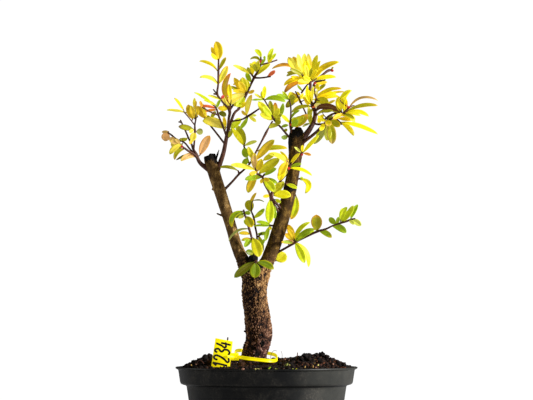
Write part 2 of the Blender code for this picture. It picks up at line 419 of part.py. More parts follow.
            (75.2, 288.4, 76.4, 302.5, 4.6, 0.8, 3), (75.6, 288.2, 86.7, 305, 4.8, -0.8, -4),
            (83.8, 291.2, 91.1, 306, 4, 0.4, 4), (84.6, 290.6, 94.2, 284.4, 5, 0.9, -3),
        ),
    ),
}

COLOURS = {
    "pot": ((0.035, 0.036, 0.038, 1.0), 0.55),
    "soil": ((0.030, 0.018, 0.012, 1.0), 0.95),
    "wood": ((0.090, 0.050, 0.032, 1.0), 0.85),
    "leaf": ((0.520, 0.540, 0.020, 1.0), 0.45),
    "tie": ((0.900, 0.840, 0.020, 1.0), 0.40),
}


def clear_scene():
    """Remove every object, so that the part is all that the scene holds."""
    for obj in list(bpy.data.objects):
        bpy.data.objects.remove(obj, do_unlink=True)


def material(name, finish):
    """Return a Principled material of the named finish."""
    colour, roughness = COLOURS[finish]
    made = bpy.data.materials.new(name)
    made.use_nodes = True
    shader = made.node_tree.nodes["Principled BSDF"]
    shader.inputs["Base Color"].default_value = colour
    shader.inputs["Roughness"].default_value = roughness
    shader.inputs["Metallic"].default_value = 0.0
    return made


def add_object(name, bm, collection=None):
    """Turn bm into an object in the given collection, or in the scene's own."""
    mesh = bpy.data.meshes.new(name)
    bm.to_mesh(mesh)
    bm.free()
    obj = bpy.data.objects.new(name, mesh)
    (collection or bpy.context.scene.collection).objects.link(obj)
    return obj


def add_ring_skin(bm, rings, tip=None):
    """Bridge equal rings of points in order, close the foot, and close the end or draw it to a tip."""
    loops = [[bm.verts.new(point) for point in ring] for ring in rings]
    for low, high in zip(loops, loops[1:]):
        for k in range(len(low)):
            n = (k + 1) % len(low)
            bm.faces.new((low[k], low[n], high[n], high[k]))
    bm.faces.new(list(reversed(loops[0])))
    if tip is None:
        bm.faces.new(loops[-1])
        return
    point = bm.verts.new(tip)
    for k in range(len(loops[-1])):
        bm.faces.new((loops[-1][k], loops[-1][(k + 1) % len(loops[-1])], point))


def tangents(points):
    """Return the unit direction of the route at each of its points."""
    ends = [points[0]] + list(points) + [points[-1]]
    return [(ends[i + 2] - ends[i]).normalized() for i in range(len(points))]


def tube(route, sides, grow=0.0, lump=0.0):
    """Return a bmesh tube along route, whose entries are x, y, z and radius in millimetres."""
    points = [Vector(entry[:3]) * MM for entry in route]
    side = Vector((0.0, 1.0, 0.0))
    rings = []
    ways = tangents(points)
    points[0] -= grow * ways[0]
    points[-1] += grow * ways[-1]
    for index, (point, along) in enumerate(zip(points, ways)):
        side = (side - along * side.dot(along)).normalized()
        across = along.cross(side)
        ring = []
        for k in range(sides):
            angle = math.tau * k / sides
            wave = math.sin(3 * angle + 0.9 * index) + math.sin(5 * angle - 1.7 * index)
            radius = route[index][3] * MM * (1 + lump * wave) + grow
            ring.append(point + radius * (math.cos(angle) * side + math.sin(angle) * across))
        rings.append(ring)
    bm = bmesh.new()
    add_ring_skin(bm, rings)
    return bm


def nearest_on_stems(stems, x, z):
    """Return the point of the stems' centre lines that is nearest to x, z as seen from the front."""
    best = None
    for stem in stems:
        for low, high in zip(stem, stem[1:]):
            start = Vector(low[:3])
            step = Vector(high[:3]) - start
            flat = Vector((step.x, 0.0, step.z))
            reach = Vector((x - start.x, 0.0, z - start.z))
            part = min(max(reach.dot(flat) / max(flat.length_squared, 1e-6), 0.0), 1.0)
            point = start + part * step
            distance = math.hypot(point.x - x, point.z - z)
            if best is None or distance < best[0]:
                best = (distance, point)
    return best


def blade_section(centre, along, turn, half, thickness, rise):
    """Return the four corners of a folded blade's section: right edge, top, left edge, underside."""
    flat = Vector((0.0, 1.0, 0.0))
    level = along.cross(flat)
    level = level.normalized() if level.length > 1e-6 else Vector((1.0, 0.0, 0.0))
    facing = along.cross(level)
    side = math.cos(turn) * level + math.sin(turn) * facing
    up = along.cross(side)
    return (
        centre + half * side + rise * up, centre + 0.5 * thickness * up,
        centre - half * side + rise * up, centre - 0.5 * thickness * up,
    )


def leaf(stems, entry, index):
    """Return one leaf as a closed blade whose stalk is rooted in the nearest stem."""
    foot_x, foot_z, tip_x, tip_z, width, bow = entry[:6]
    distance, root = nearest_on_stems(stems, foot_x, foot_z)
    length = math.hypot(tip_x - foot_x, tip_z - foot_z)
    lean = entry[6] if len(entry) > 6 else DEPTH_LEAN * length * math.sin(index * GOLDEN_ANGLE)
    foot = Vector((foot_x, root.y + lean * distance / (distance + length), foot_z))
    tip = Vector((tip_x, root.y + lean, tip_z))
    left_of_way = Vector((-(tip_z - foot_z), 0.0, tip_x - foot_x)).normalized()
    knee = 0.5 * (foot + tip) + 2.0 * bow * left_of_way
    true_width = max(width, min(WIDEST_TURNED, SLENDERNESS * length))
    turn = math.acos(width / true_width)
    turn *= -1.0 if left_of_way.z >= 0.0 else 1.0
    first = ((foot if distance > SHORT_STALK else knee) - root).normalized()
    rings = [blade_section(root * MM, first, turn, STALK_HALF, 2 * STALK_HALF, 0.0)]
    if distance > SHORT_STALK:
        way = (knee - foot).normalized()
        rings.append(blade_section(foot * MM, way, turn, STALK_HALF, 2 * STALK_HALF, 0.0))
    for share, fullness in LONG_BLADE if length > LONG_FROM else SHORT_BLADE:
        centre = (1 - share) ** 2 * foot + 2 * share * (1 - share) * knee + share ** 2 * tip
        along = ((1 - share) * (knee - foot) + share * (tip - knee)).normalized()
        half = 0.5 * true_width * fullness * MM
        rings.append(blade_section(centre * MM, along, turn, half, BLADE_THICKNESS, FOLD * half))
    bm = bmesh.new()
    add_ring_skin(bm, rings, tip * MM)
    return bm


def apply_boolean(obj, operation, collection, solver="EXACT"):
    """Apply a Boolean of the collection's objects to obj and remove those objects."""
    modifier = obj.modifiers.new(operation.title(), "BOOLEAN")
    modifier.operation = operation
    modifier.operand_type = "COLLECTION"
    modifier.collection = collection
    modifier.solver = solver
    depsgraph = bpy.context.evaluated_depsgraph_get()
    mesh = bpy.data.meshes.new_from_object(obj.evaluated_get(depsgraph))
    obj.modifiers.clear()
    obj.data = mesh
    for member in list(collection.objects):
        bpy.data.objects.remove(member, do_unlink=True)
    bpy.data.collections.remove(collection)


def new_collection(name):
    """Return a new collection in the scene for the operands of one Boolean."""
    collection = bpy.data.collections.new(name)
    bpy.context.scene.collection.children.link(collection)
    return collection


def tidy_mesh(obj):
    """Merge points that a Boolean left on top of each other."""
    bm = bmesh.new()
    bm.from_mesh(obj.data)
    bmesh.ops.remove_doubles(bm, verts=bm.verts, dist=MERGE)
    bmesh.ops.dissolve_degenerate(bm, edges=bm.edges, dist=MERGE)
    bm.to_mesh(obj.data)
    bm.free()


def drop_scraps(obj):
    """Keep only the largest connected body of obj, without the crumbs that a union leaves."""
    bm = bmesh.new()
    bm.from_mesh(obj.data)
    bodies = []
    waiting = set(bm.verts)
    while waiting:
        body = set()
        front = [waiting.pop()]
        while front:
            vert = front.pop()
            body.add(vert)
            near = [edge.other_vert(vert) for edge in vert.link_edges]
            front += [other for other in near if other in waiting]
            waiting.difference_update(near)
        bodies.append(body)
    bodies.sort(key=len)
    for body in bodies[:-1]:
        bmesh.ops.delete(bm, geom=list(body), context="VERTS")
    bm.to_mesh(obj.data)
    bm.free()


def shade(obj, finish, sharp_degrees=40.0):
    """Give obj its own material and smooth shading with sharp corners kept."""
    obj.data.materials.clear()
    obj.data.materials.append(material(obj.name, finish))
    obj.data.shade_smooth()
    obj.data.set_sharp_from_angle(angle=math.radians(sharp_degrees))


def lathe(name, profile, segments, collection=None):
    """Return an object turned from a profile of radius and height, on the axis at both ends."""
    bm = bmesh.new()
    chain = [bm.verts.new((radius, 0.0, height)) for radius, height in profile]
    edges = [bm.edges.new(pair) for pair in zip(chain, chain[1:])]
    bmesh.ops.spin(
        bm, geom=chain + edges, cent=(0.0, 0.0, 0.0), axis=(0.0, 0.0, 1.0),
        angle=math.tau, steps=segments, use_merge=False, use_duplicate=False,
    )
    bmesh.ops.remove_doubles(bm, verts=bm.verts, dist=MERGE)
    bmesh.ops.dissolve_degenerate(bm, edges=bm.edges, dist=MERGE)
    bmesh.ops.recalc_face_normals(bm, faces=bm.faces)
    return add_object(name, bm, collection)


def pot_inner_profile(clearance):
    """Return the pot's inner wall from the floor's edge up, moved inwards by clearance."""
    slope = (POT_BODY_TOP_RADIUS - POT_BASE_RADIUS) / POT_BODY_TOP
    inner_base = POT_BASE_RADIUS - POT_WALL + slope * POT_FLOOR
    return [
        (inner_base - clearance, POT_FLOOR + clearance),
        (POT_BODY_TOP_RADIUS - POT_WALL - clearance, POT_BODY_TOP + clearance),
        (POT_COLLAR_FOOT_RADIUS - POT_WALL - clearance, POT_COLLAR_FOOT + POT_WALL),
        (POT_COLLAR_TOP_RADIUS - POT_WALL - clearance, POT_COLLAR_TOP),
    ]


def make_pot():
    """Make the moulded pot: lip, collar, tapered body, standing ring and drain holes."""
    ring_inside = POT_BASE_RADIUS - STANDING_RING_WIDTH
    outside = [
        (0.0, 0.0), (CENTRE_DISC_RADIUS, 0.0), (CENTRE_DISC_RADIUS + RECESS_SLOPE, RECESS_DEPTH),
        (ring_inside - RECESS_SLOPE, RECESS_DEPTH), (ring_inside, 0.0), (POT_BASE_RADIUS, 0.0),
        (POT_BODY_TOP_RADIUS, POT_BODY_TOP),
        (POT_BODY_TOP_RADIUS + POT_STEP[0], POT_BODY_TOP + POT_STEP[1]),
        (POT_COLLAR_FOOT_RADIUS - POT_LEDGE[0], POT_COLLAR_FOOT - POT_LEDGE[1]),
        (POT_COLLAR_FOOT_RADIUS, POT_COLLAR_FOOT), (POT_COLLAR_TOP_RADIUS, POT_COLLAR_TOP),
        (POT_LIP_RADIUS, POT_LIP_TOP - LIP_BEAD), (POT_LIP_RADIUS, POT_LIP_TOP),
        (POT_LIP_RADIUS - LIP_TOP_WIDTH, POT_LIP_TOP),
    ]
    inside = list(reversed(pot_inner_profile(0.0)))
    pot = lathe("pot", outside + inside + [(0.0, POT_FLOOR)], POT_SEGMENTS)
    drills = new_collection("drain_drills")
    for hole in range(DRAIN_HOLES):
        angle = math.tau * (hole + 0.5) / DRAIN_HOLES
        bm = bmesh.new()
        place = Matrix.Translation(
            (DRAIN_CIRCLE_RADIUS * math.cos(angle), DRAIN_CIRCLE_RADIUS * math.sin(angle), POT_FLOOR)
        )
        bmesh.ops.create_cone(
            bm, cap_ends=True, segments=12, radius1=DRAIN_HOLE_RADIUS, radius2=DRAIN_HOLE_RADIUS,
            depth=4 * RECESS_DEPTH, matrix=place,
        )
        drill = add_object("drain_drill", bm, drills)
        drill.hide_render = True
        drill.display_type = "WIRE"
    apply_boolean(pot, "DIFFERENCE", drills)
    tidy_mesh(pot)
    shade(pot, "pot", 30.0)


def crest_height(x):
    """Return how high the mound's crest stands above the soil's edge at x."""
    at = x / MM
    for (low_x, low_h), (high_x, high_h) in zip(SOIL_CREST, SOIL_CREST[1:]):
        if at <= high_x:
            part = min(max((at - low_x) / (high_x - low_x), 0.0), 1.0)
            part = part * part * (3 - 2 * part)
            return (low_h + part * (high_h - low_h)) * MM
    return 0.0


def loop_level(x, y):
    """Return the height of the strap's middle at x, y."""
    return LOOP_LEVEL + LOOP_SLOPE_X * x + LOOP_SLOPE_Y * y


def soil_height(x, y):
    """Return the height of the smooth soil at x, y, before its lumps."""
    rise = min(max((y - SOIL_FRONT) / (SOIL_CREST_FRONT - SOIL_FRONT), 0.0), 1.0)
    fall = min(max((SOIL_BACK - y) / (SOIL_BACK - SOIL_CREST_BACK), 0.0), 1.0)
    front = (rise * rise * (3 - 2 * rise)) ** SOIL_FRONT_POWER
    back = fall * fall * (3 - 2 * fall)
    edge = 1.0 - (math.hypot(x, y) / SOIL_LEVEL_RADIUS) ** SOIL_LEVEL_POWER
    return SOIL_EDGE + crest_height(x) * front * back * max(edge, 0.0)


def tie_clearance(x, y):
    """Return the height that the soil stays under at x, y, so that the tie lies on it."""
    ceiling = 1.0
    u = (x - LOOP_CENTRE[0]) / LOOP_HALF[0]
    v = (y - LOOP_CENTRE[1]) / LOOP_HALF[1]
    if LOOP_BAND[0] < max(abs(u), abs(v)) < LOOP_BAND[1]:
        ceiling = loop_level(x, y) - 0.5 * STRAP_HEIGHT - 2 * GAP
    if PLATE_BAY_X[0] < x < PLATE_BAY_X[1] and PLATE_BAY_Y[0] < y < PLATE_BAY_Y[1]:
        ceiling = min(ceiling, PLATE_CORNERS[2][1] * MM - GAP)
    return ceiling


def make_soil():
    """Make the lumpy mound that fills the pot, with a plain hole for the trunk's foot."""
    draw = random.Random(7)
    rim = POT_COLLAR_TOP_RADIUS - POT_WALL - GAP
    profile = pot_inner_profile(GAP)
    rings = []
    for radius, height in profile[:3]:
        rings.append((0.0, radius, height, False))
    rings.append((0.0, rim - SOIL_INSET[0], POT_COLLAR_TOP - SOIL_SHOULDER, False))
    for index in range(SOIL_RINGS + 1):
        share = (index / SOIL_RINGS) ** SOIL_RING_POWER
        radius = rim - SOIL_INSET[1] + share * (FOOT_HOLE_RADIUS - rim + SOIL_INSET[1])
        rings.append((share * FOOT_X, radius, None, 0 < index < SOIL_RINGS))
    rings.append((FOOT_X, FOOT_HOLE_RADIUS, FOOT_BOTTOM - GAP, False))
    bm = bmesh.new()
    loops = []
    for centre_x, radius, height, lumpy in rings:
        loop = []
        for k in range(SOIL_SEGMENTS):
            angle = math.tau * k / SOIL_SEGMENTS
            x = centre_x + radius * math.cos(angle)
            y = radius * math.sin(angle)
            level = height
            if level is None:
                lump = SOIL_LUMP * draw.uniform(-1.0, 1.6) if lumpy else 0.0
                level = min(soil_height(x, y) + lump, tie_clearance(x, y))
            loop.append(bm.verts.new((x, y, level)))
        loops.append(loop)
    for low, high in zip(loops, loops[1:]):
        for k in range(SOIL_SEGMENTS):
            n = (k + 1) % SOIL_SEGMENTS
            bm.faces.new((low[k], low[n], high[n], high[k]))
    bm.faces.new(list(reversed(loops[0])))
    bm.faces.new(loops[-1])
    soil = add_object("soil", bm)
    shade(soil, "soil", 60.0)


def wood_tubes(grow, collection):
    """Add both limbs and the details of the wood to the collection, grown by the given amount."""
    for route in (LEFT_LIMB, RIGHT_LIMB):
        add_object("limb", tube(route, WOOD_SIDES - 2, grow, WOOD_LUMP), collection)
    for route in WOOD_DETAILS:
        add_object("wood_detail", tube(route, 8, grow, WOOD_LUMP), collection)


def make_trunk():
    """Make the trunk with both limbs, its cut stubs, knots, thorns and spikes as one piece."""
    trunk = add_object("trunk", tube(TRUNK, WOOD_SIDES, lump=WOOD_LUMP))
    parts = new_collection("wood_parts")
    wood_tubes(0.0, parts)
    apply_boolean(trunk, "UNION", parts)
    tidy_mesh(trunk)
    shade(trunk, "wood", 60.0)


def wood_cutters(name):
    """Return a collection with all of the wood, grown by the gap, to cut a shoot clear of it."""
    cutters = new_collection(name)
    add_object("trunk_cutter", tube(TRUNK, WOOD_SIDES, WOOD_GAP, WOOD_LUMP), cutters)
    wood_tubes(WOOD_GAP, cutters)
    for cutter in cutters.objects:
        cutter.hide_render = True
        cutter.display_type = "WIRE"
    return cutters


def make_shoot(name, stems, leaves):
    """Make one leafy shoot: its stems and leaves fused, and cut clear of the wood it grows from."""
    shoot = add_object(name, tube(stems[0], TWIG_SIDES))
    parts = new_collection(name + "_parts")
    for stem in stems[1:]:
        add_object("stem", tube(stem, TWIG_SIDES), parts)
    for index, entry in enumerate(leaves):
        add_object("leaf", leaf(stems, entry, index), parts)
    apply_boolean(shoot, "UNION", parts, "MANIFOLD")
    apply_boolean(shoot, "DIFFERENCE", wood_cutters(name + "_wood"), "MANIFOLD")
    drop_scraps(shoot)
    shade(shoot, "leaf")


def plate_outline():
    """Return the plate's corners as front points, leaning back from its foot."""
    foot = PLATE_CORNERS[2][1]
    top = PLATE_CORNERS[0][1]
    points = []
    for x, z in PLATE_CORNERS:
        back = PLATE_LEAN * (z - foot) / (top - foot)
        points.append(Vector((x * MM, PLATE_Y + back, z * MM)))
    return points


def loop_point(out):
    """Return where the strap's loop, a rounded rectangle, passes in the direction out."""
    size = (abs(out.x) ** LOOP_SQUARENESS + abs(out.y) ** LOOP_SQUARENESS) ** (1 / LOOP_SQUARENESS)
    return (
        LOOP_CENTRE[0] + LOOP_HALF[0] * out.x / size,
        LOOP_CENTRE[1] + LOOP_HALF[1] * out.y / size,
    )


def make_label_tie():
    """Make the moulded tie: the strap's loop, the head that it locks in, and the plate."""
    bm = bmesh.new()
    loops = []
    for k in range(LOOP_SEGMENTS):
        angle = math.tau * k / LOOP_SEGMENTS
        out = Vector((math.cos(angle), math.sin(angle), 0.0))
        x, y = loop_point(out)
        middle = Vector((x, y, loop_level(x, y)))
        half = 0.5 * STRAP_THICKNESS * out
        rise = Vector((0.0, 0.0, 0.5 * STRAP_HEIGHT))
        corners = (middle + half - rise, middle + half + rise, middle - half + rise, middle - half - rise)
        loops.append([bm.verts.new(corner) for corner in corners])
    for k in range(LOOP_SEGMENTS):
        low = loops[k]
        high = loops[(k + 1) % LOOP_SEGMENTS]
        for c in range(4):
            d = (c + 1) % 4
            bm.faces.new((low[c], low[d], high[d], high[c]))
    bmesh.ops.recalc_face_normals(bm, faces=bm.faces)
    tie = add_object("label_tie", bm)
    parts = new_collection("tie_parts")
    head = bmesh.new()
    place = Matrix.Translation(HEAD_CENTRE) @ Matrix.Diagonal((*HEAD_SIZE, 1.0))
    bmesh.ops.create_cube(head, size=1.0, matrix=place)
    add_object("tie_head", head, parts)
    add_object("tie_neck", tube(NECK, 8), parts)
    plate = bmesh.new()
    front = [plate.verts.new(point) for point in plate_outline()]
    face = plate.faces.new(front)
    made = bmesh.ops.extrude_face_region(plate, geom=[face])
    moved = [item for item in made["geom"] if isinstance(item, bmesh.types.BMVert)]
    bmesh.ops.translate(plate, verts=moved, vec=(0.0, PLATE_THICKNESS, 0.0))
    bmesh.ops.recalc_face_normals(plate, faces=plate.faces)
    add_object("tie_plate", plate, parts)
    apply_boolean(tie, "UNION", parts)
    tidy_mesh(tie)
    shade(tie, "tie", 30.0)


def main():
    """Build every piece of the bonsai."""
    clear_scene()
    make_pot()
    make_soil()
    make_trunk()
    make_label_tie()
    for name, (stems, leaves) in SHOOTS.items():
        make_shoot(name, stems, leaves)


main()
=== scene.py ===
"""Looks of a pomegranate bonsai in a nursery pot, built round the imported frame.

The frame gives the pot, the soil, the wood, the label tie and every leafy shoot at their places.
This script stands a finer piece for each: barked wood, twigs with thin ribbed leaves, crumbly soil,
a moulded pot and a written tie. Routes and leaves are listed in millimetres in the frame's axes.
"""
import logging
import math
import random
from collections.abc import Callable
from dataclasses import dataclass, field
from enum import Enum

import bmesh
import bpy
import numpy as np
from mathutils import Matrix, Vector, noise
from mathutils.bvhtree import BVHTree


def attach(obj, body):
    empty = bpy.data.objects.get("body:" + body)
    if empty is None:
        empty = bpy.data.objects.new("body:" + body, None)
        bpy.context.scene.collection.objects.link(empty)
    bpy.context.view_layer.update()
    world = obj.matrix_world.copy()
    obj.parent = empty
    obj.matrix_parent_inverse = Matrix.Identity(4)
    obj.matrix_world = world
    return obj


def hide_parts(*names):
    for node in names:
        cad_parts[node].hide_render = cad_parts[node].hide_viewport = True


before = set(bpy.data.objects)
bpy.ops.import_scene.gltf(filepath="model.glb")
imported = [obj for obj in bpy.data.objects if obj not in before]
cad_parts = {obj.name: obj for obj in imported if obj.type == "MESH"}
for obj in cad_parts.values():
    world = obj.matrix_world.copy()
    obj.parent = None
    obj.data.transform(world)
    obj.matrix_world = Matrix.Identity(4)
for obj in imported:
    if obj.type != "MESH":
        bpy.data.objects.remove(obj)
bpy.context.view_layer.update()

LOG = logging.getLogger("bonsai")
MM = 0.001
ORIGIN = (0.0, 0.0, 0.0)
RULED = None
Socket = bpy.types.NodeSocket
Value = Socket | float | tuple
Colour = tuple[float, float, float, float]

# Leaf rule: how far blades fold up, how much wider than listed they are seen, how wide a blade seen
# at an angle really is, and how far tips with no lean of their own stand forward or back
FOLD = 0.16
SEEN_SHARE = 1.08
SEEN_MORE = 0.35
WIDEST_TURNED = 6.5
SLENDERNESS = 0.30
MOST_NARROWED = 3.0
DEPTH_LEAN = 0.38
GOLDEN_ANGLE = 2.39996

